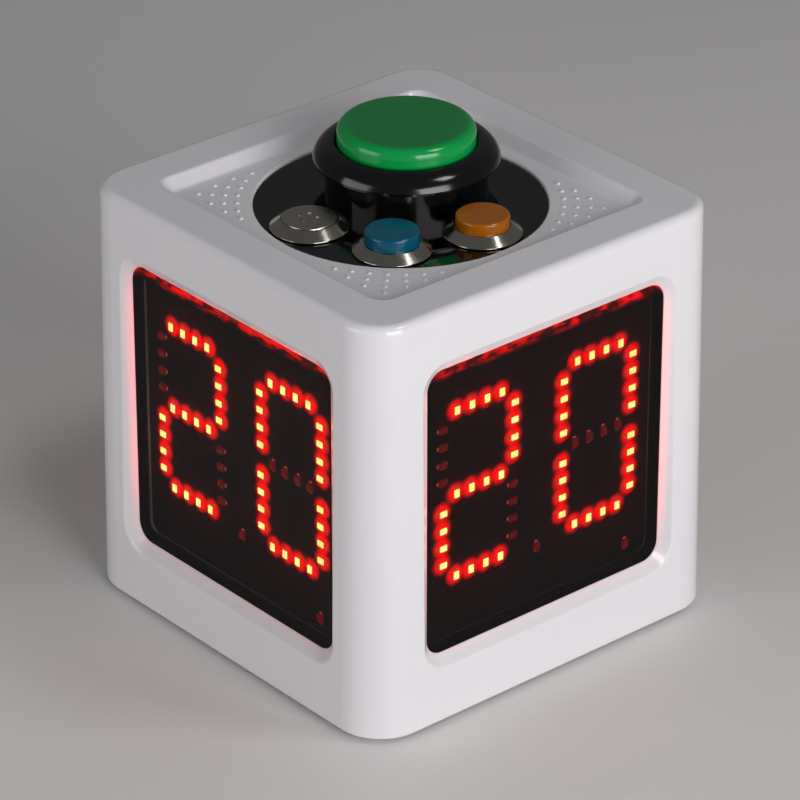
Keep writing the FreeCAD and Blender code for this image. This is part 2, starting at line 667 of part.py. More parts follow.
def make_plate():
    """Black plate: a square flange under the housing's top with a disc that fills its hole."""
    body = new_body("top_plate")
    flange = sketch_on(body, "XY_Plane", "plate_bottom")
    rounded_box(flange, "plate_half", "plate_half", "plate_corner")
    pad(body, flange, "cavity_roof - plate_bottom")
    disc = sketch_on(body, "XY_Plane", "plate_bottom")
    circle(disc, "plate_disc")
    pad(body, disc, "plate_top - plate_bottom")
    holes = sketch_on(body, "XY_Plane", "plate_top")
    circle(holes, "main_hole", "main_x", "main_y")
    for index in SMALL_BUTTONS.values():
        x, y = small_place(index)
        circle(holes, "small_hole", plain(x), plain(y))
    for across, along in corner_signs():
        circle(holes, "screw_clear", signed(across, "plate_screw_at"), signed(along, "plate_screw_at"))
    pocket(body, holes, "plate_top - plate_bottom + 1")
    keep(body)


def lathe(label, points, node=True):
    """A turned piece from (radius, height) corners."""
    body = new_body(label)
    outline(sketch_on(body, "XZ_Plane"), points)
    turned(body, body.Group[-1])
    doc.recompute()
    return keep(body) if node else body


def on_main_axis(body):
    stand_at(body, "main_x", "main_y")


def make_main_button():
    """Large push button: collar, domed bezel with its threaded barrel, nut, cap, stem and spring."""
    on_main_axis(lathe("main_collar", [
        ("main_hole + 0.1", "plate_top"), ("collar_radius", "plate_top"),
        ("collar_radius", "collar_top"), ("collar_inner", "collar_top"),
        ("collar_inner", "collar_shelf"), ("main_hole + 0.1", "collar_shelf")]))

    bezel = lathe("main_bezel", [
        ("barrel_inner", "barrel_bottom"), ("barrel_outer", "barrel_bottom"),
        ("barrel_outer", "collar_shelf"), ("skirt_outer", "collar_shelf"),
        ("skirt_outer", "rim_bottom"), ("rim_radius", "rim_bottom"),
        ("rim_radius", "rim_top", "dome_radius"), ("lip_radius", "dome_top"),
        ("bore_radius", "dome_top - 0.4"), ("bore_radius", "bore_floor"),
        ("barrel_inner", "bore_floor")])
    on_main_axis(bezel)

    nut = new_body("main_nut")
    ring = sketch_on(nut, "XY_Plane", "plate_bottom - ring_nut_high")
    circle(ring, "ring_nut_radius")
    circle(ring, "ring_nut_inner")
    pad(nut, ring, "ring_nut_high")
    notch = sketch_on(nut, "XY_Plane", "plate_bottom")
    circle(notch, "notch_radius", "ring_nut_radius")
    around(nut, [pocket(nut, notch, "ring_nut_high + 1")], 12)
    on_main_axis(nut)
    keep(nut)

    cap = lathe("main_cap", [
        ("0", "cap_roof"), ("cap_inner", "cap_roof"), ("cap_inner", "cap_skirt"),
        ("cap_radius", "cap_skirt"), ("cap_radius", "cap_top"), ("0", "cap_top")])
    round_off(cap, "cap_top", "cap_radius", "cap_edge")
    on_main_axis(cap)

    stem = lathe("main_stem", [
        ("0", "stem_roof"), ("stem_inner", "stem_roof"), ("stem_inner", "web_top"),
        ("web_inner", "web_top"), ("web_inner", "web_bottom"), ("stem_inner", "web_bottom"),
        ("stem_inner", "stem_bottom"), ("stem_outer", "stem_bottom"), ("stem_outer", "stem_step"),
        ("stem_flange", "stem_step"), ("stem_flange", "cap_roof"), ("0", "cap_roof")])
    leg = sketch_on(stem, "XY_Plane", "leg_bottom")
    box_outline(leg, "leg_in", "leg_out", "0 - leg_half", "leg_half")
    pad(stem, leg, "web_top - leg_bottom")
    on_main_axis(stem)

    make_coil("main_spring", "coil_radius", "coil_wire", "coil_pitch", "holder_top", "web_bottom",
              ("main_x", "main_y"))


def make_coil(label, radius, wire, pitch, foot, top, place):
    """A round-wire spring between two levels."""
    body = new_body(label)
    section = sketch_on(body, "XZ_Plane")
    circle(section, wire, radius, f"{foot} + {wire} + 0.05")
    coil = body.newObject("PartDesign::AdditiveHelix", f"{body.Name}_helix")
    coil.Profile = section
    coil.ReferenceAxis = (section, ["V_Axis"])
    coil.Mode = 0
    coil.Pitch = number(pitch)
    coil.setExpression("Pitch", bound(pitch))
    rise = f"{top} - {foot} - {wire} - {wire} - 0.1"
    coil.Height = number(rise)
    coil.setExpression("Height", bound(rise))
    stand_at(body, *place)
    return keep(body)


def make_holder_and_switch():
    """Lamp holder that closes the barrel, its lamp, and the lever switch that hangs under it."""
    holder = lathe("lamp_holder", [
        ("post_inner", "barrel_bottom"), ("holder_radius", "barrel_bottom"),
        ("holder_radius", "holder_top"), ("post_outer", "holder_top"), ("post_outer", "post_top"),
        ("post_inner", "post_top")])
    arms = sketch_on(holder, "XY_Plane", "barrel_bottom")
    box_outline(arms, "bracket_left", "bracket_right - 4.5", "bracket_in", "bracket_out")
    box_outline(arms, "bracket_left", "bracket_right - 4.5", "0 - bracket_out", "0 - bracket_in")
    pad(holder, arms, "barrel_bottom - bracket_bottom", backwards=True)
    pegs = sketch_on(holder, "XZ_Plane", "bracket_out")
    circle(pegs, "peg_radius", "peg_one", "peg_low")
    pad(holder, pegs, "bracket_out + bracket_out", backwards=True)
    slot = sketch_on(holder, "XY_Plane", "holder_top")
    box_outline(slot, "slot_in", "holder_radius + 1", "0 - slot_half", "slot_half")
    pocket(holder, slot, "holder_top - barrel_bottom + 1")
    on_main_axis(holder)

    lamp = lathe("main_lamp", [
        ("0", "lamp_foot"), ("lamp_radius", "lamp_foot"), ("lamp_radius", "post_top"),
        ("lamp_bulb", "post_top"), ("lamp_bulb", "lamp_top"), ("0", "lamp_top")])
    round_off(lamp, "lamp_top", "lamp_bulb", "3.4")
    on_main_axis(lamp)

    switch = new_body("switch_body")
    side = sketch_on(switch, "XZ_Plane")
    box_outline(side, "switch_left", "switch_right", "switch_bottom", "switch_top")
    circle(side, "peg_hole", "peg_one", "peg_low")
    circle(side, "peg_hole", "peg_two", "peg_low")
    pad(switch, side, "switch_half + switch_half", middle=True)
    lugs = sketch_on(switch, "XZ_Plane", "lug_half")
    outline(lugs, [("hinge_x - lug_reach", "switch_top"), ("hinge_x + lug_reach", "switch_top"),
                   ("hinge_x + lug_reach", "hinge_z + lug_reach"),
                   ("hinge_x - lug_reach", "hinge_z + lug_reach")])
    circle(lugs, "pivot_hole", "hinge_x", "hinge_z")
    pad(switch, lugs, "lug_thick", backwards=True)
    far_lugs = sketch_on(switch, "XZ_Plane", "0 - lug_half")
    outline(far_lugs, [("hinge_x - lug_reach", "switch_top"), ("hinge_x + lug_reach", "switch_top"),
                       ("hinge_x + lug_reach", "hinge_z + lug_reach"),
                       ("hinge_x - lug_reach", "hinge_z + lug_reach")])
    circle(far_lugs, "pivot_hole", "hinge_x", "hinge_z")
    pad(switch, far_lugs, "lug_thick")
    well = sketch_on(switch, "XY_Plane", "switch_top")
    circle(well, "tappet_hole", "tappet_x", "0")
    pocket(switch, well, "switch_top - tappet_foot + 1.4")
    tabs = sketch_on(switch, "XY_Plane", "switch_bottom")
    for left in ("switch_left + 1", "switch_left + 8.5", "switch_right - 4"):
        box_outline(tabs, left, f"{left} + 3", "0 - tab_thick + 0.25", "tab_thick - 0.25")
    pad(switch, tabs, "tab_high", backwards=True)
    on_main_axis(switch)
    keep(switch)

    tappet = new_body("switch_tappet")
    rod = sketch_on(tappet, "XY_Plane", "tappet_foot")
    circle(rod, "tappet_radius", "tappet_x", "0")
    pad(tappet, rod, "tappet_top - tappet_foot")
    round_off(tappet, "tappet_top", "tappet_radius", "0.4")
    on_main_axis(tappet)
    keep(tappet)

    make_lever()


def make_lever():
    """Spring-steel lever on its pivot, drawn level about the pivot and then tipped up to rest."""
    arm = doc.addObject("Part::Box", "lever_arm")
    arm.setExpression("Length", "Sizes.lever_long - 0.6")
    arm.setExpression("Width", "2 * Sizes.lever_half")
    arm.setExpression("Height", "Sizes.lever_thick")
    arm.setExpression("Placement.Base.x", "0.6")
    arm.setExpression("Placement.Base.y", "-Sizes.lever_half")
    arm.setExpression("Placement.Base.z", "-Sizes.lever_thick")
    parts = [arm]
    for name, radius, half in (("lever_eye", "eye_radius", "lever_half"),
                               ("lever_pivot", "pivot_radius", "lug_half")):
        rod = doc.addObject("Part::Cylinder", name)
        rod.setExpression("Radius", f"Sizes.{radius}")
        rod.setExpression("Height", f"2 * Sizes.{half}")
        rod.Placement.Rotation = FreeCAD.Rotation(FreeCAD.Vector(1, 0, 0), 90)
        rod.setExpression("Placement.Base.y", f"Sizes.{half}")
        parts.append(rod)
    lever = doc.addObject("Part::MultiFuse", "switch_lever")
    lever.Label = "switch_lever"
    lever.Shapes = parts
    lever.Placement = FreeCAD.Placement(
        FreeCAD.Vector(number("main_x + hinge_x"), number("main_y"), number("hinge_z")),
        FreeCAD.Rotation(FreeCAD.Vector(0, -1, 0), SIZES["lever_rise"]))
    keep(lever)


# ---------------------------------------------------------------- the small buttons
def make_small_buttons():
    """Three metal push buttons that differ only in the key that moves."""
    gaskets = []
    nuts = []
    inserts = []
    for name, index in SMALL_BUTTONS.items():
        x, y = small_place(index)
        place = (plain(x), plain(y))
        body = lathe(f"{name}_bezel", [
            ("chamber_radius", "small_bottom"), ("small_barrel", "small_bottom"),
            ("small_barrel", "gasket_top"), ("flange_radius", "gasket_top"),
            ("flange_radius", "flange_edge"), ("flange_crown", "flange_top"),
            ("small_bore", "flange_top"), ("small_bore", "seat_top"), ("guide_bore", "seat_top"),
            ("guide_bore", "seat_bottom"), ("chamber_radius", "seat_bottom")])
        round_off(body, "flange_edge", "flange_radius", "soft_edge")
        round_off(body, "flange_top", "flange_crown", "soft_edge")
        stand_at(body, *place)

        top = f"{name}_top"
        key = lathe(f"{name}_key", [
            ("0", "barb_bottom"), ("key_stem", "barb_bottom"), ("barb_radius", "barb_top - 0.4"),
            ("barb_radius", "barb_top"), ("key_stem", "barb_top"), ("key_stem", "key_shoulder"),
            ("key_radius", "key_shoulder"), ("key_radius", top), ("0", top)])
        round_off(key, top, "key_radius", "steel_edge" if name == "steel" else "key_edge")
        if name == "steel":
            mark_key(key)
        stand_at(key, *place)

        make_coil(f"{name}_spring", "small_coil", "small_wire", "small_pitch", "seat_top",
                  "key_shoulder", place)

        gasket = new_body(f"{name}_gasket")
        ring = sketch_on(gasket, "XY_Plane", "plate_top")
        circle(ring, "gasket_outer")
        circle(ring, "small_barrel + 0.05")
        pad(gasket, ring, "gasket_top - plate_top")
        gaskets.append(gasket)

        nut = new_body(f"{name}_nut")
        flats = sketch_on(nut, "XY_Plane", "plate_bottom - hex_high")
        corners = [FreeCAD.Vector(SIZES["hex_radius"] * math.cos(math.radians(60 * turn)),
                                  SIZES["hex_radius"] * math.sin(math.radians(60 * turn)), 0)
                   for turn in range(6)]
        for turn in range(6):
            flats.addGeometry(Part.LineSegment(corners[turn], corners[(turn + 1) % 6]), False)
        circle(flats, "hex_inner")
        pad(nut, flats, "hex_high")
        nuts.append(nut)

        insert = new_body(f"{name}_insert")
        plug = sketch_on(insert, "XY_Plane", "insert_bottom")
        circle(plug, "plug_radius")
        pad(insert, plug, "insert_top - insert_bottom")
        pins = sketch_on(insert, "XY_Plane", "insert_bottom")
        for across in ("0 - pin_at", "pin_at"):
            box_outline(pins, f"{across} - 0.3", f"{across} + 0.3", "0 - 1", "1")
        pad(insert, pins, "pin_long", backwards=True)
        inserts.append(insert)
        for item in (gasket, nut, insert):
            stand_at(item, *place)
    group("button_gaskets", gaskets)
    group("button_nuts", nuts)
    group("button_inserts", inserts)


def mark_key(key):
    """Engraves two dots and an arc in the steel key."""
    dots = sketch_on(key, "XY_Plane", "steel_top")
    circle(dots, "mark_dot", "0 - mark_dot_across", "mark_dot_up")
    circle(dots, "mark_dot", "mark_dot_across", "mark_dot_up")
    pocket(key, dots, "mark_deep")
    arc = sketch_on(key, "XY_Plane", "steel_top")
    middle = FreeCAD.Vector(0, 0, 0)
    low = math.radians(270 - SIZES["mark_arc_half"])
    high = math.radians(270 + SIZES["mark_arc_half"])
    rings = [Part.ArcOfCircle(Part.Circle(middle, FreeCAD.Vector(0, 0, 1), SIZES[radius]), low, high)
             for radius in ("mark_arc_inner", "mark_arc")]
    inner, outer = (arc.addGeometry(item, False) for item in rings)
    for end in ("StartPoint", "EndPoint"):
        near = getattr(arc.Geometry[inner], end)
        far = getattr(arc.Geometry[outer], end)
        arc.addGeometry(Part.LineSegment(near, far), False)
    pocket(key, arc, "mark_deep")


# ---------------------------------------------------------------- the electronics
def make_boards():
    """Main board on the cover's posts, with its chips, headers, buzzer and charging socket."""
    board = new_body("main_board")
    face = sketch_on(board, "XY_Plane", "pcb_bottom")
    box_outline(face, "0 - pcb_half", "pcb_half", "pcb_front", "pcb_rear")
    for across in (1, -1):
        for along in ("post_front", "post_rear"):
            circle(face, "screw_clear", signed(across, "post_x"), along)
    pad(board, face, "pcb_top - pcb_bottom")
    keep(board)

    chips = new_body("driver_chips")
    faces = sketch_on(chips, "XY_Plane", "pcb_top")
    for left, low, wide, deep in CHIPS:
        box_outline(faces, plain(left), plain(left + wide), plain(low), plain(low + deep))
    pad(chips, faces, "chip_high")
    keep(chips)

    group("board_headers", [
        block("header_right", "header_at - header_half", "header_at + header_half",
              "0 - header_long", "header_long", "pcb_top", "header_top"),
        block("header_left", "0 - header_at - header_half", "0 - header_at + header_half",
              "0 - header_long", "header_long", "pcb_top", "header_top"),
        block("header_back", "0 - header_long", "header_long", "header_at - header_half",
              "header_at + header_half", "pcb_top", "header_top"),
        block("header_front", "0 - header_long", "header_long", "0 - header_front - header_half",
              "0 - header_front + header_half", "pcb_top", "header_top"),
        block("header_buttons", "connector_x - 8", "connector_x + 8", "connector_y - 2",
              "connector_y + 2", "pcb_top", "header_top")])

    buzzer = new_body("buzzer")
    drum = sketch_on(buzzer, "XY_Plane", "pcb_top")
    circle(drum, "buzzer_radius", "buzzer_x", "buzzer_y")
    pad(buzzer, drum, "buzzer_high")
    port = sketch_on(buzzer, "XY_Plane", "pcb_top + buzzer_high")
    circle(port, "buzzer_port", "buzzer_x", "buzzer_y")
    pocket(buzzer, port, "2")
    keep(buzzer)

    cans = new_body("capacitors")
    faces = sketch_on(cans, "XY_Plane", "pcb_top")
    for along in ("can_one", "can_two"):
        circle(faces, "can_radius", "can_x", along)
    pad(cans, faces, "can_high")
    round_off(cans, "pcb_top + can_high", "can_radius", "0.5")
    keep(cans)

    socket = new_body("charging_socket")
    mouth = sketch_on(socket, "XZ_Plane", "0 - socket_face")
    rounded_box(mouth, "socket_half", "socket_rise", "socket_round", "socket_x", "pcb_top + socket_rise")
    pad(socket, mouth, "socket_face - socket_back")
    inside = sketch_on(socket, "XZ_Plane", "0 - socket_face")
    rounded_box(inside, "socket_half - socket_wall", "socket_rise - socket_wall",
                "socket_round - socket_wall", "socket_x", "pcb_top + socket_rise")
    pocket(socket, inside, "socket_deep", forwards=True)
    tongue = sketch_on(socket, "XZ_Plane", "0 - socket_back - 0.5")
    box_outline(tongue, "socket_x - tongue_half", "socket_x + tongue_half",
                "pcb_top + socket_rise - tongue_rise", "pcb_top + socket_rise + tongue_rise")
    pad(socket, tongue, "socket_deep", backwards=True)
    keep(socket)


def make_power():
    """One round cell in a cradle on the cover, with a contact plate at each end."""
    body = new_body("cell_cradle")
    tray = sketch_on(body, "XY_Plane", "cover_top")
    box_outline(tray, "0 - cradle_half", "cradle_half", "cell_y - cradle_wide", "cell_y + cradle_wide")
    pad(body, tray, "cradle_top - cover_top")
    trough = sketch_on(body, "YZ_Plane")
    circle(trough, "cell_radius + cradle_play", "cell_y", "cell_z")
    pocket(body, trough, "cell_half + cell_half + 1.2", middle=True)
    keep(body)

    cell = new_body("battery_cell")
    end = sketch_on(cell, "YZ_Plane")
    circle(end, "cell_radius", "cell_y", "cell_z")
    pad(cell, end, "cell_half + cell_half", middle=True)
    keep(cell)

    plates = []
    for name, start in (("contact_plus", "cell_half + 0.1"), ("contact_minus", "0 - cell_half - 0.5")):
        plates.append(block(name, start, f"{start} + contact_thick", "cell_y - 4", "cell_y + 4",
                            "cell_z - 7", "cell_z + 3"))
    group("cell_contacts", plates)


def make_ribbon(label, reach, side):
    """A flat cable from a display's plug in to a header: level, one bend, then down."""
    body = new_body(label)
    edge = sketch_on(body, "YZ_Plane")
    start = -number("frame_back - board_thick - plug_deep")
    finish = -number(reach)
    level = SIZES["plug_z"]
    half = SIZES["ribbon_thick"] / 2
    bend = SIZES["ribbon_bend"]
    centre = FreeCAD.Vector(finish - bend, level - bend, 0)
    ends = []
    for radius in (bend - half, bend + half):
        edge.addGeometry(Part.ArcOfCircle(
            Part.Circle(centre, FreeCAD.Vector(0, 0, 1), radius), 0, math.pi / 2), False)
        ends.append((FreeCAD.Vector(start, centre.y + radius, 0),
                     FreeCAD.Vector(centre.x, centre.y + radius, 0),
                     FreeCAD.Vector(centre.x + radius, centre.y, 0),
                     FreeCAD.Vector(centre.x + radius, SIZES["header_top"], 0)))
    for outer, into, out, foot in ends:
        edge.addGeometry(Part.LineSegment(outer, into), False)
        edge.addGeometry(Part.LineSegment(out, foot), False)
    edge.addGeometry(Part.LineSegment(ends[0][0], ends[1][0]), False)
    edge.addGeometry(Part.LineSegment(ends[0][3], ends[1][3]), False)
    pad(body, edge, "ribbon_wide", middle=True)
    face_side(body, side)
    return body


def lead(label, points):
    """A round cable along straight runs joined by tangent arcs, as large as the runs allow."""
    radius = SIZES["lead_radius"]
    edges = []
    begin = points[0]
    for before, corner, after in zip(points, points[1:], points[2:]):
        arrive = corner - before
        leave = after - corner
        turn = arrive.getAngle(leave)
        cut = 0.45 * min(arrive.Length, leave.Length)
        into = corner - FreeCAD.Vector(arrive).normalize() * cut
        out = corner + FreeCAD.Vector(leave).normalize() * cut
        bend = cut / math.tan(turn / 2)
        bisector = (into + out) * 0.5 - corner
        middle = corner + bisector.normalize() * (bend / math.cos(turn / 2) - bend)
        print(label, "bend radius", round(bend, 1))
        edges.append(Part.LineSegment(begin, into).toShape())
        edges.append(Part.Arc(into, middle, out).toShape())
        begin = out
    edges.append(Part.LineSegment(begin, points[-1]).toShape())
    path = Part.Wire(edges)
    section = Part.Wire(Part.Circle(points[0], points[1] - points[0], radius).toShape())
    solid = path.makePipeShell([section], True, False)
    feature = doc.addObject("Part::Feature", label)
    feature.Shape = solid
    expected = math.pi * radius ** 2 * path.Length
    if abs(solid.Volume - expected) > 0.01 * expected:
        raise RuntimeError(f"{label} has the wrong volume")
    return feature


def make_wiring():
    """Flat cables to the four displays and round leads to the four switches."""
    group("ribbon_cables", [
        make_ribbon("ribbon_front", "header_front", "front"),
        make_ribbon("ribbon_right", "header_at", "right"),
        make_ribbon("ribbon_back", "header_at", "back"),
        make_ribbon("ribbon_left", "header_at", "left")])
    starts = [(*small_place(-1), number("insert_bottom - pin_long")),
              (number("main_x + switch_left + 10"), number("main_y"), number("switch_bottom - tab_high")),
              (*small_place(0), number("insert_bottom - pin_long")),
              (*small_place(1), number("insert_bottom - pin_long"))]
    names = ("lead_steel", "lead_main", "lead_blue", "lead_orange")
    leads = []
    for index, (name, start) in enumerate(zip(names, starts)):
        x = number("connector_x") + (index - 1.5) * SIZES["lead_pitch"]
        y = number("connector_y")
        top = FreeCAD.Vector(*start)
        leads.append(lead(name, [
            top, FreeCAD.Vector(top.x, top.y, top.z - 18), FreeCAD.Vector(x, y, 34),
            FreeCAD.Vector(x, y, number("header_top"))]))
    group("switch_leads", leads)


# ---------------------------------------------------------------- build, check, write
make_housing()
make_windows()
make_base()
all_screws()
make_displays()
make_plate()
make_main_button()
make_holder_and_switch()
make_small_buttons()
make_boards()
make_power()
make_wiring()
doc.recompute()

for item in doc.Objects:
    if "Invalid" in item.State or "Error" in item.State:
        raise RuntimeError(f"{item.Label} did not compute: {item.State}")

os.makedirs("parts", exist_ok=True)
for node in nodes:
    shape = node.Shape
    if shape.isNull() or not shape.isValid() or shape.Volume <= 0:
        raise RuntimeError(f"{node.Label} has no valid solid")
    shape.exportStep(f"parts/{node.Label}.step")
print(len(nodes), "sub-parts written")
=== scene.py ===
import json
import math

import bpy
import numpy as np
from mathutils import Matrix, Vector


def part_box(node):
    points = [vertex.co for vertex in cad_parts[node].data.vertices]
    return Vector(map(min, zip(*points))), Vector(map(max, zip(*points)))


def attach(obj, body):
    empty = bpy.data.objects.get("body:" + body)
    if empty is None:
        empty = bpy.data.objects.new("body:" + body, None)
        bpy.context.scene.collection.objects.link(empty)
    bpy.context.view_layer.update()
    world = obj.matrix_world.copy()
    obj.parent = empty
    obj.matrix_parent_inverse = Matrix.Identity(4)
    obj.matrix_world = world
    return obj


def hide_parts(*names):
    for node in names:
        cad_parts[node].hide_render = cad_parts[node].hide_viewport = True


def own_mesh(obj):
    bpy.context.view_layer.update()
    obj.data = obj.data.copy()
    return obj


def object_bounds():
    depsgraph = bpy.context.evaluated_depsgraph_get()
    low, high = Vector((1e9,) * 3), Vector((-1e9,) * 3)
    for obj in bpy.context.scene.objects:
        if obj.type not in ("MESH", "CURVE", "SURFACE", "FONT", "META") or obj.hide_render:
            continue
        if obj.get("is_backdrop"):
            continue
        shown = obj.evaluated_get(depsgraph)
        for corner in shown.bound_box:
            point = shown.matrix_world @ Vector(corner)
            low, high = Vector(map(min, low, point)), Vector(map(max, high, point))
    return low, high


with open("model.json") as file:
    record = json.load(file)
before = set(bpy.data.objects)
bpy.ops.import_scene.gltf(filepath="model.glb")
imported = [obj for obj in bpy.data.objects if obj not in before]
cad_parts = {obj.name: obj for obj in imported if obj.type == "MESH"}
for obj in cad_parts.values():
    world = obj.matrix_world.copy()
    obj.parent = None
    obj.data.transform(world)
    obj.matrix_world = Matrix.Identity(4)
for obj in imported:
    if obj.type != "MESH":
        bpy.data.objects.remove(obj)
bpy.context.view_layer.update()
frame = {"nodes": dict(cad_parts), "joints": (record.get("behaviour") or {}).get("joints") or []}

# Looks of a four-sided game clock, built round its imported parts. Metres, Z up, front on -Y.
# The four sides are alike: a side's pieces are worked out on the front and turned by quarters.

bl_info = {
    "name": "Game Clock",
    "version": (1, 0, 0),
    "blender": (4, 5, 0),
    "location": "View3D > Sidebar > Game Clock",
    "description": "Finishes and fine pieces of a four-sided game clock",
    "category": "Object",
}

MM = 0.001
SIDES = ("front", "right", "back", "left")
SMALL_BUTTONS = ("steel", "blue", "orange")
CREASE = 35.0  # degrees between two faces from which their edge stays sharp
WINDOW_CORNER = 4.7 * MM
MAIN_COIL = (2.6 * MM, 0.5 * MM)  # pitch and wire radius
SMALL_COIL = (1.5 * MM, 0.35 * MM)


# ---------------------------------------------------------------- colours
def linear(hex_colour):
    """An sRGB hex value as a linear colour with full alpha."""
    shares = [int(hex_colour[at:at + 2], 16) / 255 for at in (1, 3, 5)]
    channels = (share / 12.92 if share <= 0.04045 else ((share + 0.055) / 1.055) ** 2.4
                for share in shares)
    return (*channels, 1.0)


def colour_property(name, description, hex_colour):
    return bpy.props.FloatVectorProperty(
        name=name, description=description, subtype="COLOR", size=4, min=0.0, max=1.0,
        default=linear(hex_colour))


def length_property(name, description, millimetres):
    return bpy.props.FloatProperty(
        name=name, description=description, subtype="DISTANCE", unit="LENGTH", min=0.0,
        precision=5, default=millimetres * MM)


def strength_property(name, description, strength):
    return bpy.props.FloatProperty(name=name, description=description, min=0.0, default=strength)


class ClockColours(bpy.types.PropertyGroup):
    """Colours of the clock's visible finishes."""
    case: colour_property("Case", "Moulded case", "#e4e1e5")
    window: colour_property("Window", "Tint of the windows", "#090102")
    # Colour of the painted red glows on the board sheets, the window borders and the recess walls.
    glow: colour_property("Glow", "Light that spreads round a lit lamp", "#ff0000")
    core: colour_property("Core", "Middle of a lit lamp", "#ffc46a")
    cap: colour_property("Large cap", "Green cap", "#02803a")
    # Painted light: the rim's lighter green stands in for the light that the rounded rim gathers.
    cap_rim_light: colour_property("Large cap's rim", "Green cap where it is rounded", "#079746")
    blue: colour_property("Blue key", "Blue key", "#04546f")
    orange: colour_property("Orange key", "Orange key", "#a65c04")
    steel: colour_property("Steel", "Turned stainless steel", "#bcb7ab")
    floor: colour_property("Floor", "Floor under the clock", "#e3e1df")


class ClockSizes(bpy.types.PropertyGroup):
    """Sizes of the fine pieces, and the strength of the lamps."""
    window_edge: length_property("Window edge", "Rounding of a window's front edge", 0.2)
    border: length_property("Border", "Width of the dark border behind a window", 2.4)
    rim: length_property("Lamp rim", "Wall of a lamp's package", 0.22)
    pad: length_property("Solder pad", "Length of a solder pad beside a lamp", 0.62)
    # Halo, full halo and the halo, leak and recess strengths set painted glows: emission that
    # stands in for the lamps' light on the board, under a window's top edge and on the walls round
    # a window.
    halo: length_property("Halo", "Reach of the light round a lit lamp", 3.3)
    halo_core: length_property("Full halo", "Reach of the even light round a lit lamp", 1.3)
    lamp_strength: strength_property("Lamp strength", "Light that a lit lamp gives", 7.5)
    halo_strength: strength_property("Halo strength", "Light of the board round a lit lamp", 4.4)
    leak_strength: strength_property("Leak strength", "Light under a window's top edge", 2.4)
    recess_strength: strength_property("Recess strength", "Light on the walls round a window", 0.5)


# ---------------------------------------------------------------- materials
def add(tree, kind, inputs=None, **settings):
    """Adds a node with its settings; inputs maps a socket to a value or to an output to link."""
    made = tree.nodes.new(kind)
    for name, value in settings.items():
        setattr(made, name, value)
    for key, value in (inputs or {}).items():
        if isinstance(value, bpy.types.NodeSocket):
            tree.links.new(value, made.inputs[key])
        else:
            made.inputs[key].default_value = value
    return made


def cells(millimetres):
    """The scale that gives a noise, brick or cell pattern features of this size."""
    return 1.0 / (millimetres * MM)


def waves(millimetres):
    """The scale that puts the bands or rings of a wave pattern this far apart."""
    return 0.1 * math.pi / (millimetres * MM)


def finish(name, colour, roughness, uneven=0.0, tone=0.0, tone_size=18.0, grain=0.0, grain_size=1.0,
           **sockets):
    """A surface whose colour drifts in tone, whose gloss is uneven and whose face has a fine grain.

    tone is the share by which the colour drifts over patches of tone_size, uneven the spread of the
    roughness, grain the depth of a relief with features of grain_size (sizes in millimetres).
    """
    material = bpy.data.materials.new(name)
    material.use_nodes = True
    tree = material.node_tree
    tree.nodes.clear()
    place = add(tree, "ShaderNodeTexCoord").outputs["Object"]
    patches = add(tree, "ShaderNodeTexNoise", {
        "Vector": place, "Scale": cells(tone_size), "Detail": 3.0,
        "Roughness": 0.55}).outputs["Fac"]
    other = tuple(channel * (1.0 - tone) for channel in colour[:3]) + (1.0,)
    blend = add(tree, "ShaderNodeMix", {0: patches, 6: colour, 7: other},
                data_type="RGBA").outputs[2]
    least = max(roughness - uneven, 0.02)
    gloss = add(tree, "ShaderNodeMapRange", {
        0: patches, 1: 0.3, 2: 0.7, 3: least, 4: roughness + uneven}).outputs[0]
    relief = add(tree, "ShaderNodeTexNoise", {
        "Vector": place, "Scale": cells(grain_size), "Detail": 2.0}).outputs["Fac"]
    normal = add(tree, "ShaderNodeBump", {
        "Strength": 1.0, "Distance": grain * MM, "Height": relief}).outputs[0]
    shader = add(tree, "ShaderNodeBsdfPrincipled", {
        "Base Color": blend, "Roughness": gloss, "Normal": normal, **sockets})
    add(tree, "ShaderNodeOutputMaterial", {"Surface": shader.outputs[0]})
    return material


def part_of(material, kind):
    """The material's one node of a kind."""
    return next(item for item in material.node_tree.nodes if item.bl_idname == kind)


def relink_normal(material, height, depth):
    """Puts a second relief under the grain."""
    tree = material.node_tree
    grain = part_of(material, "ShaderNodeBump")
    under = add(tree, "ShaderNodeBump", {"Strength": 1.0, "Distance": depth * MM, "Height": height})
    tree.links.new(under.outputs[0], grain.inputs["Normal"])


def place_of(material, shift=(0.0, 0.0, 0.0), stretch=(1.0, 1.0, 1.0)):
    """Object coordinates with the pattern's middle moved to a point, or stretched by shares."""
    tree = material.node_tree
    place = part_of(material, "ShaderNodeTexCoord").outputs["Object"]
    return add(tree, "ShaderNodeMapping", {
        "Vector": place, "Location": tuple(-at for at in shift), "Scale": stretch}).outputs[0]


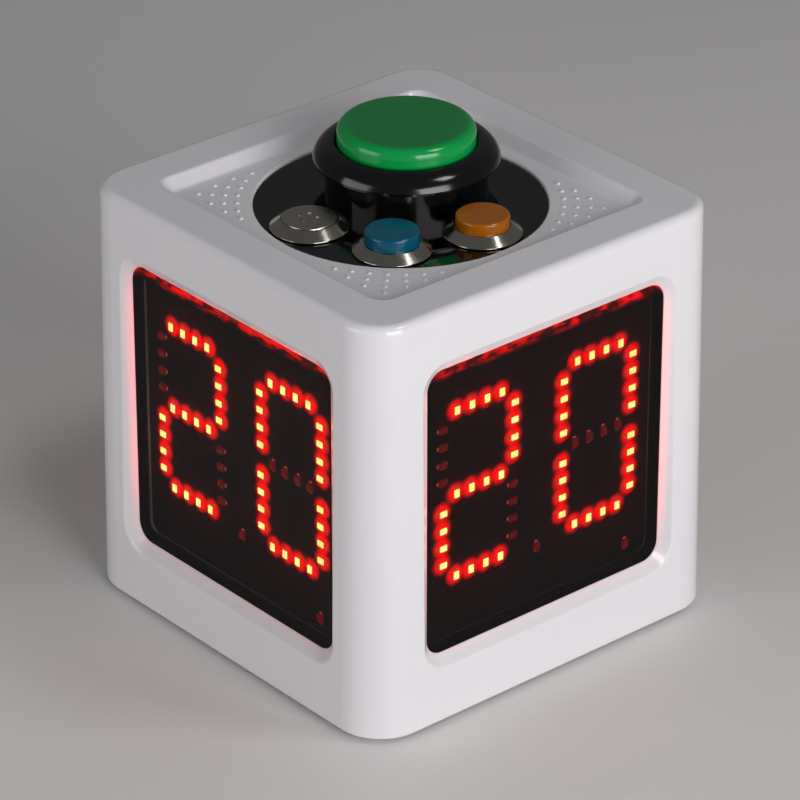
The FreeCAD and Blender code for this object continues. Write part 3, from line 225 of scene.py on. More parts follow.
def glossy_abs(colours, low, high, glow):
    """White ABS from a polished mould: even, glossy, with a faint ripple and a trace of handling.

    The walls of the recesses round the windows carry a painted red glow, an emission that stands in
    for the light that the lamps throw on them: most beside the digits. low and high are the front
    window's corners. Each line of a mask is a value, where it starts to count and where it counts
    in full.
    """
    material = finish("glossy_white_abs", tuple(colours.case), 0.15, uneven=0.04, tone=0.035,
                      tone_size=26.0, grain=0.004, grain_size=2.6, IOR=1.53)
    tree = material.node_tree
    place = part_of(material, "ShaderNodeTexCoord").outputs["Object"]
    folded = add(tree, "ShaderNodeVectorMath", {0: place}, operation="ABSOLUTE").outputs[0]
    x, y, height = add(tree, "ShaderNodeSeparateXYZ", {0: folded}).outputs
    depth = add(tree, "ShaderNodeMath", {0: x, 1: y}, operation="MAXIMUM").outputs[0]
    across = add(tree, "ShaderNodeMath", {0: x, 1: y}, operation="MINIMUM").outputs[0]
    window = -low.y
    recess = 3.0 * MM
    fade = 0.5 * MM
    beside_digits = (
        (across, 30.0 * MM, high.x),
        (height, low.z, low.z + 20.0 * MM),
        (height, high.z, high.z - 14.0 * MM))
    in_recess = (
        (depth, window - fade, window - 0.3 * MM),
        (depth, window + 1.9 * MM, window),
        (across, high.x + recess + fade, high.x + recess),
        (height, low.z - recess - fade, low.z - recess),
        (height, high.z + recess + fade, high.z + recess))
    everywhere = 0.15
    strength = 1.0 - everywhere
    for mask, offset in ((beside_digits, everywhere), (in_recess, 0.0)):
        for value, start, full in mask:
            step = add(tree, "ShaderNodeMapRange", {0: value, 1: start, 2: full},
                       interpolation_type="SMOOTHSTEP").outputs[0]
            strength = add(tree, "ShaderNodeMath", {0: strength, 1: step},
                           operation="MULTIPLY").outputs[0]
        strength = add(tree, "ShaderNodeMath", {0: strength, 1: offset}, operation="ADD").outputs[0]
    # Painted red glow on the recess walls, standing in for the lamps' light.
    strength = add(tree, "ShaderNodeMath", {0: strength, 1: glow}, operation="MULTIPLY").outputs[0]
    shader = part_of(material, "ShaderNodeBsdfPrincipled")
    shader.inputs["Emission Color"].default_value = tuple(colours.glow)
    tree.links.new(strength, shader.inputs["Emission Strength"])
    return material


def tinted_acrylic(colours):
    """Dark red cast acrylic: nearly black by day, clear to the lamps' red, mirror smooth."""
    return finish("tinted_red_acrylic", tuple(colours.window), 0.05, uneven=0.02, tone=0.2,
                  tone_size=30.0, grain=0.003, grain_size=16.0, IOR=1.49, Alpha=0.5,
                  **{"Specular IOR Level": 0.28})


def printed_border(colours):
    """Black screen print behind the window's edge, with a painted red glow for the little light
    that leaks past it.
    """
    material = finish("black_screen_print", linear("#020101"), 0.6, uneven=0.05, tone=0.3,
                      tone_size=4.0, grain=0.001, grain_size=0.6, **{"Specular IOR Level": 0.15})
    tree = material.node_tree
    leak = add(tree, "ShaderNodeAttribute", attribute_name="leak").outputs["Fac"]
    broken = add(tree, "ShaderNodeTexNoise", {
        "Vector": place_of(material, stretch=(0.45, 0.45, 1.0)), "Scale": cells(1.9),
        "Detail": 3.0}).outputs["Fac"]
    sharper = add(tree, "ShaderNodeMapRange", {0: broken, 1: 0.46, 2: 0.62, 3: 0.06}).outputs[0]
    strength = add(tree, "ShaderNodeMath", {0: leak, 1: sharper}, operation="MULTIPLY").outputs[0]
    shader = part_of(material, "ShaderNodeBsdfPrincipled")
    shader.inputs["Emission Color"].default_value = tuple(colours.glow)
    tree.links.new(strength, shader.inputs["Emission Strength"])
    return material


def black_mask():
    """Black solder mask on glass fibre: satin, with the weave just showing."""
    material = finish("black_solder_mask", linear("#0a0708"), 0.42, uneven=0.08, tone=0.4,
                      tone_size=9.0, grain=0.006, grain_size=0.5)
    weave = add(material.node_tree, "ShaderNodeTexWave", {
        "Vector": place_of(material), "Scale": waves(0.7), "Distortion": 0.6},
        wave_type="BANDS", bands_direction="Z").outputs["Fac"]
    relink_normal(material, weave, 0.006)
    return material


def lit_board(colours, sizes):
    """A sheet over the board with the lamps' red light painted on as a glow: full by a lamp, gone 3
    mm off.
    """
    material = finish("painted_lamp_glow", linear("#050101"), 0.6, uneven=0.06, tone=0.35,
                      tone_size=5.0, grain=0.0004, grain_size=1.4, **{"Specular IOR Level": 0.06})
    tree = material.node_tree
    light = add(tree, "ShaderNodeAttribute", attribute_name="light").outputs["Fac"]
    cloud = add(tree, "ShaderNodeTexNoise", {
        "Vector": place_of(material), "Scale": cells(1.1), "Detail": 2.0}).outputs["Fac"]
    uneven = add(tree, "ShaderNodeMapRange", {0: cloud, 1: 0.3, 2: 0.7, 3: 0.7, 4: 1.15}).outputs[0]
    share = add(tree, "ShaderNodeMath", {0: light, 1: uneven}, operation="MULTIPLY").outputs[0]
    strength = add(tree, "ShaderNodeMath", {0: share, 1: sizes.halo_strength},
                   operation="MULTIPLY").outputs[0]
    shader = part_of(material, "ShaderNodeBsdfPrincipled")
    shader.inputs["Emission Color"].default_value = tuple(colours.glow)
    tree.links.new(strength, shader.inputs["Emission Strength"])
    return material


def lamp_core(colours, sizes):
    """The die and phosphor of a lit lamp: nearly white, a little uneven from lamp to lamp."""
    material = finish("lit_lamp_die", tuple(colours.core), 0.3, uneven=0.05, tone=0.1,
                      tone_size=3.0, grain=0.002, grain_size=0.4)
    tree = material.node_tree
    cloud = add(tree, "ShaderNodeTexNoise", {
        "Vector": place_of(material), "Scale": cells(2.2), "Detail": 1.0}).outputs["Fac"]
    weak, strong = 0.75 * sizes.lamp_strength, 1.2 * sizes.lamp_strength
    strength = add(tree, "ShaderNodeMapRange", {
        0: cloud, 1: 0.3, 2: 0.7, 3: weak, 4: strong}).outputs[0]
    shader = part_of(material, "ShaderNodeBsdfPrincipled")
    shader.inputs["Emission Color"].default_value = tuple(colours.core)
    tree.links.new(strength, shader.inputs["Emission Strength"])
    return material


def unlit_lamp():
    """Red epoxy of a lamp that is off, with a faint painted red glow that stands in for the light
    of its neighbours.
    """
    return finish("unlit_red_epoxy", linear("#2c0506"), 0.25, uneven=0.08, tone=0.3, tone_size=2.0,
                  grain=0.004, grain_size=0.5, **{
                      "Emission Color": linear("#ff0808"), "Emission Strength": 0.36})


def lamp_package(name, glow):
    """Dark red nylon package round a lamp: satin, moulded, with a painted red glow that stands in
    for the lamp's own light.
    """
    return finish(name, linear("#2e0607"), 0.4, uneven=0.08, tone=0.3, tone_size=1.5,
                  grain=0.004, grain_size=0.3, **{
                      "Emission Color": linear("#ff0500"), "Emission Strength": glow})


def solder():
    """Reflowed solder: bright and wavy, with pink glints from the lamps painted on as a pink glow.
    """
    return finish("reflowed_solder", linear("#c9a9a6"), 0.22, uneven=0.1, tone=0.2, tone_size=1.0,
                  grain=0.03, grain_size=0.35, Metallic=0.85, **{
                      "Emission Color": linear("#ff5a5a"), "Emission Strength": 0.9})


def polished_plate():
    """Black cast acrylic, polished: deep and mirror like, with the faintest dust."""
    material = finish("polished_black_acrylic", linear("#050506"), 0.06, uneven=0.025, tone=0.3,
                      tone_size=14.0, grain=0.001, grain_size=9.0, IOR=1.49)
    dust = add(material.node_tree, "ShaderNodeTexVoronoi", {
        "Vector": place_of(material), "Scale": cells(3.1), "Randomness": 1.0}).outputs["Distance"]
    specks = add(material.node_tree, "ShaderNodeMapRange", {
        0: dust, 1: 0.0, 2: 0.05, 3: 1.0, 4: 0.0})
    relink_normal(material, specks.outputs[0], 0.01)
    return material


def bezel_abs():
    """Black ABS from a polished mould: glossy, with a slight ripple in its highlights."""
    return finish("glossy_black_abs", linear("#0a0a0b"), 0.14, uneven=0.04, tone=0.3, tone_size=9.0,
                  grain=0.003, grain_size=1.8)


def cap_polycarbonate(colours, axis, radius):
    """Green translucent polycarbonate: glossy, with painted light on the rounded rim, a lighter
    green that stands in for the light the rim gathers.
    """
    material = finish("green_polycarbonate", tuple(colours.cap), 0.16, uneven=0.05, tone=0.12,
                      tone_size=15.0, grain=0.0025, grain_size=2.2, IOR=1.58,
                      **{"Specular IOR Level": 0.32, "Coat Weight": 0.12, "Coat Roughness": 0.06})
    tree = material.node_tree
    flat = add(tree, "ShaderNodeVectorMath", {
        0: place_of(material, axis), 1: (1.0, 1.0, 0.0)}, operation="MULTIPLY").outputs[0]
    far = add(tree, "ShaderNodeVectorMath", {0: flat}, operation="LENGTH").outputs["Value"]
    # Painted light: lighter green towards the rim.
    share = add(tree, "ShaderNodeMapRange", {
        0: far, 1: 0.8 * radius, 2: 0.985 * radius}, interpolation_type="SMOOTHSTEP").outputs[0]
    blend = part_of(material, "ShaderNodeMix").outputs[2]
    rim = add(tree, "ShaderNodeMix", {0: share, 6: blend, 7: tuple(colours.cap_rim_light)},
              data_type="RGBA").outputs[2]
    tree.links.new(rim, part_of(material, "ShaderNodeBsdfPrincipled").inputs["Base Color"])
    return material


def key_polycarbonate(name, colour):
    """Translucent polycarbonate of a small key: glossy, deeper in patches."""
    return finish(name, tuple(colour), 0.18, uneven=0.05, tone=0.18, tone_size=6.0, grain=0.002,
                  grain_size=1.1, IOR=1.58,
                  **{"Specular IOR Level": 0.32, "Coat Weight": 0.12, "Coat Roughness": 0.08})


def turned_steel(name, colour, axis, pitch=0.32, roughness=0.17):
    """Stainless steel faced on a lathe: fine rings round the axis that stretch its highlights.

    pitch is the rings' distance in millimetres, coarser than real tool marks so that they show.
    """
    material = finish(name, tuple(colour), roughness, uneven=0.05, tone=0.12, tone_size=7.0,
                      grain=0.0006, grain_size=0.7, Metallic=1.0)
    rings = add(material.node_tree, "ShaderNodeTexWave", {
        "Vector": place_of(material, axis), "Scale": waves(pitch), "Distortion": 0.4,
        "Detail": 1.0}, wave_type="RINGS", rings_direction="Z").outputs["Fac"]
    relink_normal(material, rings, 0.0009)
    return material


def textured_cover():
    """Black ABS with a spark-eroded grain: matt, pebbled at about half a millimetre."""
    return finish("textured_black_abs", linear("#1b1b1d"), 0.55, uneven=0.06, tone=0.12,
                  tone_size=20.0, grain=0.05, grain_size=0.55)


def foot_rubber():
    """Soft black rubber: matt, dusty, with a fine skin."""
    return finish("soft_rubber", linear("#171718"), 0.8, uneven=0.08, tone=0.25, tone_size=3.0,
                  grain=0.02, grain_size=0.4)


def zinc_screw():
    """Zinc plated steel: bright, a little blue and streaky."""
    return finish("zinc_plate", linear("#aeb1b5"), 0.28, uneven=0.1, tone=0.2, tone_size=1.6,
                  grain=0.01, grain_size=0.5, Metallic=1.0)


def white_nylon(name="natural_nylon"):
    """Unpigmented nylon: creamy, waxy and satin."""
    return finish(name, linear("#d8d3c4"), 0.45, uneven=0.06, tone=0.08, tone_size=5.0, grain=0.01,
                  grain_size=0.5, IOR=1.53)


def milky_polycarbonate():
    """Diffusing polycarbonate: milky and even, softly glossy."""
    return finish("milky_polycarbonate", linear("#e2e3dd"), 0.35, uneven=0.05, tone=0.05,
                  tone_size=8.0, grain=0.006, grain_size=0.9, IOR=1.58)


def spring_wire():
    """Drawn music wire: bright, with faint die lines."""
    return finish("drawn_wire", linear("#9c9b98"), 0.3, uneven=0.1, tone=0.25, tone_size=1.2,
                  grain=0.006, grain_size=0.25, Metallic=1.0)


def black_nylon():
    """Black glass-filled nylon: satin, faintly mottled by its fibres."""
    return finish("filled_black_nylon", linear("#151516"), 0.5, uneven=0.1, tone=0.3, tone_size=2.5,
                  grain=0.02, grain_size=0.4)


def clear_lamp():
    """The lamp's clear cap: glassy, with a slight green painted in for the light that reaches it
    through the green cap above.
    """
    return finish("clear_lamp_cap", linear("#cfe3d2"), 0.12, uneven=0.04, tone=0.1, tone_size=4.0,
                  grain=0.004, grain_size=1.0, Alpha=0.6)


def phenolic():
    """Dark phenolic of a switch body: hard, satin, finely speckled."""
    return finish("phenolic_resin", linear("#1a1717"), 0.4, uneven=0.08, tone=0.3, tone_size=1.4,
                  grain=0.012, grain_size=0.3)


def red_acetal():
    """Red acetal: slippery and softly glossy."""
    return finish("red_acetal", linear("#8e1d18"), 0.3, uneven=0.05, tone=0.12, tone_size=2.0,
                  grain=0.004, grain_size=0.4)


def green_board():
    """Green solder mask with copper lines that show through as a paler grid."""
    material = finish("green_solder_mask", linear("#0d5a33"), 0.35, uneven=0.08, tone=0.35,
                      tone_size=6.0, grain=0.006, grain_size=0.5)
    tree = material.node_tree
    lines = add(tree, "ShaderNodeTexBrick", {
        "Vector": place_of(material), "Scale": cells(10.0), "Mortar Size": 0.06,
        "Color1": (0.0, 0.0, 0.0, 1.0), "Color2": (0.0, 0.0, 0.0, 1.0),
        "Mortar": (1.0, 1.0, 1.0, 1.0)}).outputs["Fac"]
    blend = part_of(material, "ShaderNodeMix").outputs[2]
    paler = add(tree, "ShaderNodeMix", {0: lines, 6: blend, 7: linear("#2a8052")}, data_type="RGBA")
    shader = part_of(material, "ShaderNodeBsdfPrincipled")
    tree.links.new(paler.outputs[2], shader.inputs["Base Color"])
    return material


def chip_epoxy():
    """Moulding compound of a chip: matt, charcoal, finely gritty."""
    return finish("chip_epoxy", linear("#202022"), 0.6, uneven=0.06, tone=0.2, tone_size=1.5,
                  grain=0.012, grain_size=0.25)


def drawn_aluminium():
    """Deep drawn aluminium can: soft metal shine with draw marks."""
    return finish("drawn_aluminium", linear("#b9bbc0"), 0.32, uneven=0.08, tone=0.12, tone_size=2.0,
                  grain=0.008, grain_size=0.4, Metallic=1.0)


def plated_shell():
    """Nickel plated sheet of the charging socket: bright, slightly warm."""
    return finish("nickel_plated_shell", linear("#b5b2aa"), 0.25, uneven=0.08, tone=0.15,
                  tone_size=1.8, grain=0.006, grain_size=0.4, Metallic=1.0)


def shrink_sleeve():
    """Blue vinyl shrink sleeve of a cell: glossy, puckered by the heat."""
    return finish("blue_shrink_sleeve", linear("#2c5f9a"), 0.28, uneven=0.08, tone=0.15,
                  tone_size=9.0, grain=0.03, grain_size=3.5)


def nickel_strip():
    """Nickel plated brass strip: softly bright with a yellow cast."""
    return finish("nickel_plated_brass", linear("#c2b184"), 0.3, uneven=0.1, tone=0.2,
                  tone_size=2.0, grain=0.008, grain_size=0.5, Metallic=1.0)


def ribbon_vinyl():
    """Grey vinyl of a flat cable: satin, with its cores showing as ribs 1.27 mm apart."""
    material = finish("grey_ribbon_vinyl", linear("#8d8f92"), 0.45, uneven=0.06, tone=0.12,
                      tone_size=6.0, grain=0.006, grain_size=0.8)
    cores = add(material.node_tree, "ShaderNodeTexWave", {
        "Vector": place_of(material), "Scale": waves(1.27)},
        wave_type="BANDS", bands_direction="DIAGONAL").outputs["Fac"]
    relink_normal(material, cores, 0.06)
    return material


def lead_vinyl():
    """Black vinyl sleeve of a lead: satin, slightly crinkled."""
    return finish("black_vinyl_sleeve", linear("#1a1a1b"), 0.5, uneven=0.08, tone=0.2,
                  tone_size=5.0, grain=0.02, grain_size=1.2)


def coat(material, *nodes):
    """Gives CAD nodes their finish."""
    for name in nodes:
        mesh_slots = frame["nodes"][name].material_slots
        if not mesh_slots:
            raise RuntimeError(f"{name} has no material slot")
        for held in mesh_slots:
            held.material = material


# ---------------------------------------------------------------- geometry
def quarter_turned(points, quarter):
    """Points turned about Z by whole quarters, front to right to back to left."""
    cosine, sine = ((1, 0), (0, 1), (-1, 0), (0, -1))[quarter]
    x, y, z = points[..., 0], points[..., 1], points[..., 2]
    return np.stack([cosine * x - sine * y, sine * x + cosine * y, z], axis=-1)


def grid_faces(rows, columns, closed=False):
    """Quads between neighbours of a rows x columns grid, closed if the columns go round."""
    last = columns if closed else columns - 1
    row, column = np.meshgrid(np.arange(rows - 1), np.arange(last), indexing="ij")
    following = (column + 1) % columns
    quads = np.stack([row * columns + column, row * columns + following,
                      (row + 1) * columns + following, (row + 1) * columns + column], axis=-1)
    return quads.reshape(-1, 4)


def closed_tube(rings, start, end):
    """Points and faces of rings joined in turn, with the ends closed to two poles by triangles."""
    rows, columns = rings.shape[:2]
    here = np.arange(columns)
    following = (here + 1) % columns
    first = np.stack([np.full(columns, rows * columns), following, here], axis=-1)
    last = np.stack([np.full(columns, rows * columns + 1), here, following], axis=-1)
    last[:, 1:] += (rows - 1) * columns
    faces = [*grid_faces(rows, columns, closed=True).tolist(), *first.tolist(), *last.tolist()]
    return np.concatenate([rings.reshape(-1, 3), [start, end]]), faces


def make_piece(name, points, faces, body, material, smooth=True):
    """A piece from its points and faces, at the origin, that rides on a body."""
    mesh = bpy.data.meshes.new(name)
    faces = faces if isinstance(faces, list) else faces.tolist()
    mesh.from_pydata(points.reshape(-1, 3).tolist(), [], faces)
    mesh.validate()
    mesh.polygons.foreach_set("use_smooth", np.full(len(mesh.polygons), smooth))
    mesh.materials.append(material)
    mesh.set_sharp_from_angle(angle=math.radians(CREASE))
    mesh.update()
    piece = bpy.data.objects.new(name, mesh)
    bpy.context.scene.collection.objects.link(piece)
    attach(piece, body)
    return piece


def give_attribute(piece, name, values):
    held = piece.data.attributes.new(name, "FLOAT", "POINT")
    held.data.foreach_set("value", np.asarray(values, np.float32).ravel())


def rounded_outline(half_wide, half_high, corner, steps, straight):
    """A rounded rectangle as directions and corner centres, anticlockwise.

    A point at inset d is its corner's centre plus the direction times (corner - d), so every inset
    keeps the same count of points; points on the straight sides carry their own centre.
    """
    centres = []
    directions = []
    for quarter in range(4):
        signs = ((1, 1), (-1, 1), (-1, -1), (1, -1))[quarter]
        centre = np.array([signs[0] * (half_wide - corner), signs[1] * (half_high - corner)])
        angles = (quarter + np.linspace(0.0, 1.0, steps)) * math.pi / 2
        directions.append(np.stack([np.cos(angles), np.sin(angles)], axis=-1))
        centres.append(np.repeat(centre[None], steps, axis=0))
        following = ((-1, 1), (-1, -1), (1, -1), (1, 1))[quarter]
        goal = np.array([following[0] * (half_wide - corner), following[1] * (half_high - corner)])
        share = (np.arange(1, straight) / straight)[:, None]
        centres.append(centre + (goal - centre) * share)
        directions.append(np.repeat(directions[-1][-1:], straight - 1, axis=0))
    return np.concatenate(centres), np.concatenate(directions)


def inset_ring(outline, corner, inset):
    """The outline's points at an inset; past the corner's radius the ring shrinks in step."""
    centres, directions = outline
    reach = max(corner - inset, 0.0)
    beyond = max(inset - corner, 0.0)
    return centres + directions * reach - np.sign(centres) * beyond


def carried(outline, corner, section, x, z):
    """Rings where each (inset, depth) of a section is carried round an outline about (x, z)."""
    rings = []
    for inset, depth in section:
        flat = inset_ring(outline, corner, inset)
        rings.append(np.stack([flat[:, 0] + x, np.full(len(flat), depth), flat[:, 1] + z], axis=-1))
    return np.array(rings)


def window_shape(low, high, edge, steps=7):
    """A slab with a rounded front edge, on the front side.

    Rings of the window's rounded outline run from the middle of the back, out to its edge, up the
    side, round the front edge on a quarter circle, and in to the middle of the front.
    """
    middle = (high.z + low.z) / 2
    outline = rounded_outline((high.x - low.x) / 2, (high.z - low.z) / 2, WINDOW_CORNER, 9, 8)
    front, back = low.y, high.y
    inner = 12.0 * MM
    beside_edge = 1.2 * edge
    turn = np.linspace(0.0, math.pi / 2, steps)
    rounding = zip(edge * (1 - np.cos(turn)), front + edge * (1 - np.sin(turn)))
    section = ((inner, back), (0.0, back), *rounding, (beside_edge, front), (inner, front))
    rings = carried(outline, WINDOW_CORNER, section, 0.0, middle)
    return closed_tube(rings, (0.0, back, middle), (0.0, front, middle))


def border_shape(low, high, width, back):
    """A thin flat frame in the back of the window's edge, with a lip round the window.

    Its section, an L with the lip in the gap between window and case, is carried round the outline.
    Its upper side is wider than the others.
    """
    thick = 0.04 * MM
    lip_outside = -0.07 * MM
    lip_inside = 0.06 * MM
    lip_end = low.y + 0.12 * MM
    wider = 1.7
    outline = rounded_outline((high.x - low.x) / 2, (high.z - low.z) / 2, WINDOW_CORNER, 9, 40)
    across = ((share * width, back - thick) for share in (0.2, 0.4, 0.6, 0.8, 1.0))
    section = ((lip_outside, back), (lip_outside, lip_end), (lip_inside, lip_end),
               (lip_inside, back - thick), *across, (width, back))
    rings = carried(outline, WINDOW_CORNER, section, 0.0, (high.z + low.z) / 2)
    insets = np.array(section)[:, :1]
    rings[..., 2] = np.minimum(rings[..., 2], high.z - wider * insets)
    count = rings.shape[1]
    closing = grid_faces(2, count, closed=True)
    closing = np.where(closing < count, closing + (len(rings) - 1) * count, closing - count)
    return rings, np.concatenate([grid_faces(len(rings), count, closed=True), closing])


def coil_shape(low, high, pitch, wire, around=12, per_turn=44):
    """A round-wire spring between two corners: a circle carried along a helix, with closed ends.

    The circle is drawn from the outward direction and the one square to it and to the helix.
    """
    middle = np.array([(low.x + high.x) / 2, (low.y + high.y) / 2, low.z + wire])
    radius = (high.x - low.x) / 2 - wire
    turns = (high.z - low.z - 2 * wire) / pitch
    angle = np.linspace(0.0, 2 * math.pi * turns, int(per_turn * turns) + 1)[:, None]
    out = np.concatenate([np.cos(angle), np.sin(angle), np.zeros_like(angle)], axis=1)
    rise = np.full_like(angle, pitch / (2 * math.pi))
    run = np.concatenate([-radius * np.sin(angle), radius * np.cos(angle), rise], axis=1)
    run /= np.linalg.norm(run, axis=1, keepdims=True)
    down = np.cross(run, out)
    centres = middle + radius * out + angle * rise * np.array([0.0, 0.0, 1.0])
    turn = np.linspace(0.0, 2 * math.pi, around, endpoint=False)[None, :, None]
    tube = centres[:, None] + wire * (np.cos(turn) * out[:, None] + np.sin(turn) * down[:, None])
    return closed_tube(tube, centres[0], centres[-1])


def lamp_places(node):
    """Centres and half sizes of a node's lamps; corners within a lamp's reach belong together."""
    lamp_reach = 2.8 * MM
    mesh = frame["nodes"][node].data
    corners = np.zeros(len(mesh.vertices) * 3)
    mesh.vertices.foreach_get("co", corners)
    corners = corners.reshape(-1, 3)
    apart = np.linalg.norm(corners[:, None] - corners[None], axis=-1)
    owner = np.argmax(apart < lamp_reach, axis=1)
    middles = []
    halves = []
    for first in np.unique(owner):
        own = corners[owner == first]
        middles.append((own.max(0) + own.min(0)) / 2)
        halves.append((own.max(0) - own.min(0)) / 2)
    return np.array(middles), np.array(halves)


def light_at(points, lamps, full, reach):
    """Share of light at points: all within full of a lamp, falling smoothly to none at reach.

    The lamps' shares are joined as one minus the product of what each leaves dark.
    """
    most = 0.97
    apart = np.linalg.norm(points[:, None] - lamps[None], axis=-1)
    fall = np.clip((reach - apart) / (reach - full), 0.0, 1.0)
    share = fall * fall * (3 - 2 * fall)
    return 1.0 - np.prod(1.0 - most * share, axis=1)


# ---------------------------------------------------------------- pieces
class CLOCK_OT_case(bpy.types.Operator):
    """Finishes the case, its cover, feet and screws."""
    bl_idname = "clock.case"
    bl_label = "Case"

    def execute(self, context):
        glow = context.scene.clock_sizes.recess_strength
        coat(glossy_abs(context.scene.clock_colours, *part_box("window_front"), glow), "housing")
        coat(textured_cover(), "base_cover")
        coat(foot_rubber(), "feet", "button_gaskets")
        coat(zinc_screw(), "base_screws", "plate_screws", "display_screws", "board_screws")
        return {"FINISHED"}


class CLOCK_OT_windows(bpy.types.Operator):
    """Makes the four windows with their rounded front edges and printed borders."""
    bl_idname = "clock.windows"
    bl_label = "Windows"

    def execute(self, context):
        colours = context.scene.clock_colours
        sizes = context.scene.clock_sizes
        acrylic = tinted_acrylic(colours)
        print_black = printed_border(colours)
        low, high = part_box("window_front")
        lamps, _ = lamp_places("leds_lit_front")
        pane_points, pane_faces = window_shape(low, high, sizes.window_edge)
        inside_back = high.y - 0.02 * MM
        border_points, border_faces = border_shape(low, high, sizes.border, inside_back)
        leak = self.leak_at(border_points, high.z, lamps[:, 0], sizes.leak_strength)
        for quarter, side in enumerate(SIDES):
            pane = make_piece(f"window_pane_{side}", quarter_turned(pane_points, quarter),
                              pane_faces, "case", acrylic)
            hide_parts(f"window_{side}")
            border = make_piece(f"window_border_{side}", quarter_turned(border_points, quarter),
                                border_faces, "case", print_black, smooth=False)
            give_attribute(border, "leak", leak)
        return {"FINISHED"}

    def leak_at(self, points, top, lamps_x, strength):
        """Painted light that leaks at points: only in a band under the top, most above the lit
        lamps.
        """
        spread = 7.0 * MM
        band = 3.6 * MM
        fade = 1.6 * MM
        least = 0.25
        above = np.exp(-((points[..., 0][..., None] - lamps_x) / spread) ** 2).sum(-1)
        near_top = np.clip((points[..., 2] - (top - band)) / fade, 0.0, 1.0)
        return strength * near_top * (least + (1.0 - least) * above / above.max())


class CLOCK_OT_displays(bpy.types.Operator):
    """Finishes the boards and lamps, and makes the painted glow sheets, packages and solder pads.
    """
    bl_idname = "clock.displays"
    bl_label = "Displays"

    def execute(self, context):
        colours = context.scene.clock_colours
        sizes = context.scene.clock_sizes
        coat(black_mask(), *(f"display_board_{side}" for side in SIDES))
        coat(lamp_core(colours, sizes), *(f"leds_lit_{side}" for side in SIDES))
        coat(unlit_lamp(), *(f"leds_unlit_{side}" for side in SIDES))
        coat(white_nylon(), "display_plugs")
        self.make_glow_sheets(colours, sizes)
        self.make_packages(sizes)
        return {"FINISHED"}

    def make_glow_sheets(self, colours, sizes):
        """A sheet just before each board whose points carry the lamps' light as a painted glow."""
        margin = 1.4 * MM
        gap = 0.03 * MM
        faint, faint_reach = 0.018, 5.0 * MM
        low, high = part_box("window_front")
        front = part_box("display_board_front")[0].y - gap
        lamps, _ = lamp_places("leds_lit_front")
        columns = np.linspace(low.x + margin, high.x - margin, 170)
        rows = np.linspace(low.z + margin, high.z - margin, 172)
        z, x = np.meshgrid(rows, columns, indexing="ij")
        points = np.stack([x, np.full_like(x, front), z], axis=-1)
        flat = np.stack([x.ravel(), z.ravel()], axis=-1)
        flat_lamps = lamps[:, [0, 2]]
        # Painted glow: each point's share of the lamps' light, shown as emission.
        light = light_at(flat, flat_lamps, sizes.halo_core, sizes.halo)
        apart = np.linalg.norm(flat[:, None] - flat_lamps[None], axis=-1).min(1)
        light += faint * np.exp(-apart / faint_reach)
        material = lit_board(colours, sizes)
        for quarter, side in enumerate(SIDES):
            sheet = make_piece(f"painted_glow_sheet_{side}", quarter_turned(points, quarter),
                               grid_faces(len(rows), len(columns)), "case", material)
            give_attribute(sheet, "light", light)

    def make_packages(self, sizes):
        """A low wall round each lamp and a solder pad at each of its ends.

        The wall's section is carried round a rounded rectangle. A pad is a flattened dome: an
        ellipse in plan whose height falls as the root of one minus the squared radius.
        """
        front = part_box("display_board_front")[0].y
        bright = solder()
        pads, pad_faces = [], []
        # The packages' painted glow: strong round a lit lamp, faint round an unlit one.
        for state, glow in (("lit", 3.0), ("unlit", 0.22)):
            package = lamp_package(f"{state}_package_nylon", glow)
            walls, wall_faces = [], []
            for middle, half in zip(*lamp_places(f"leds_{state}_front")):
                upright = half[0] < half[2]
                self.add_wall(walls, wall_faces, middle, half, front, sizes.rim)
                along = np.array([0.0, 1.0]) if upright else np.array([1.0, 0.0])
                bared = 0.34 * sizes.pad
                reach = max(half[0], half[2]) + sizes.rim + bared
                for side in (1, -1):
                    centre = middle[[0, 2]] + side * along * reach
                    self.add_pad(pads, pad_faces, centre, upright, front, sizes.pad)
            points = np.concatenate(walls)
            for quarter, side in enumerate(SIDES):
                make_piece(f"{state}_packages_{side}", quarter_turned(points, quarter),
                           np.concatenate(wall_faces), "case", package)
        for quarter, side in enumerate(SIDES):
            make_piece(f"solder_pads_{side}", quarter_turned(np.concatenate(pads), quarter),
                       np.concatenate(pad_faces), "case", bright)

    def add_wall(self, walls, wall_faces, middle, half, front, rim):
        corner = 0.3 * MM
        outside = 0.02 * MM
        chamfer = 0.06 * MM
        top = front - 0.56 * MM
        inside = 0.98 * rim
        outline = rounded_outline(half[0] + rim, half[2] + rim, corner, 3, 1)
        section = ((outside, front), (outside, top + chamfer), (outside + chamfer, top),
                   (inside, top), (inside, front))
        rings = carried(outline, corner, section, middle[0], middle[2])
        start = sum(len(item) for item in walls)
        walls.append(rings.reshape(-1, 3))
        wall_faces.append(grid_faces(len(rings), rings.shape[1], closed=True) + start)

    def add_pad(self, pads, pad_faces, centre, upright, front, size):
        rise = 0.24 * MM
        half_side = 0.6 * MM
        columns = 8
        radius = np.array([1.0, 0.8, 0.5, 0.2])[:, None]
        angle = np.linspace(0.0, 2 * math.pi, columns, endpoint=False)[None]
        half_wide, half_high = (half_side, size / 2) if upright else (size / 2, half_side)
        x = centre[0] + half_wide * radius * np.cos(angle)
        z = centre[1] + half_high * radius * np.sin(angle)
        y = front - rise * np.sqrt(1.0001 - radius ** 2) * np.ones_like(angle)
        start = sum(len(item) for item in pads)
        pads.append(np.stack([x, y, z], axis=-1).reshape(-1, 3))
        pad_faces.append(grid_faces(len(radius), columns, closed=True) + start)
        crown = start + (len(radius) - 1) * columns
        pad_faces.append(np.array([(0, 1, 2, 3), (0, 3, 4, 7), (4, 5, 6, 7)]) + crown)


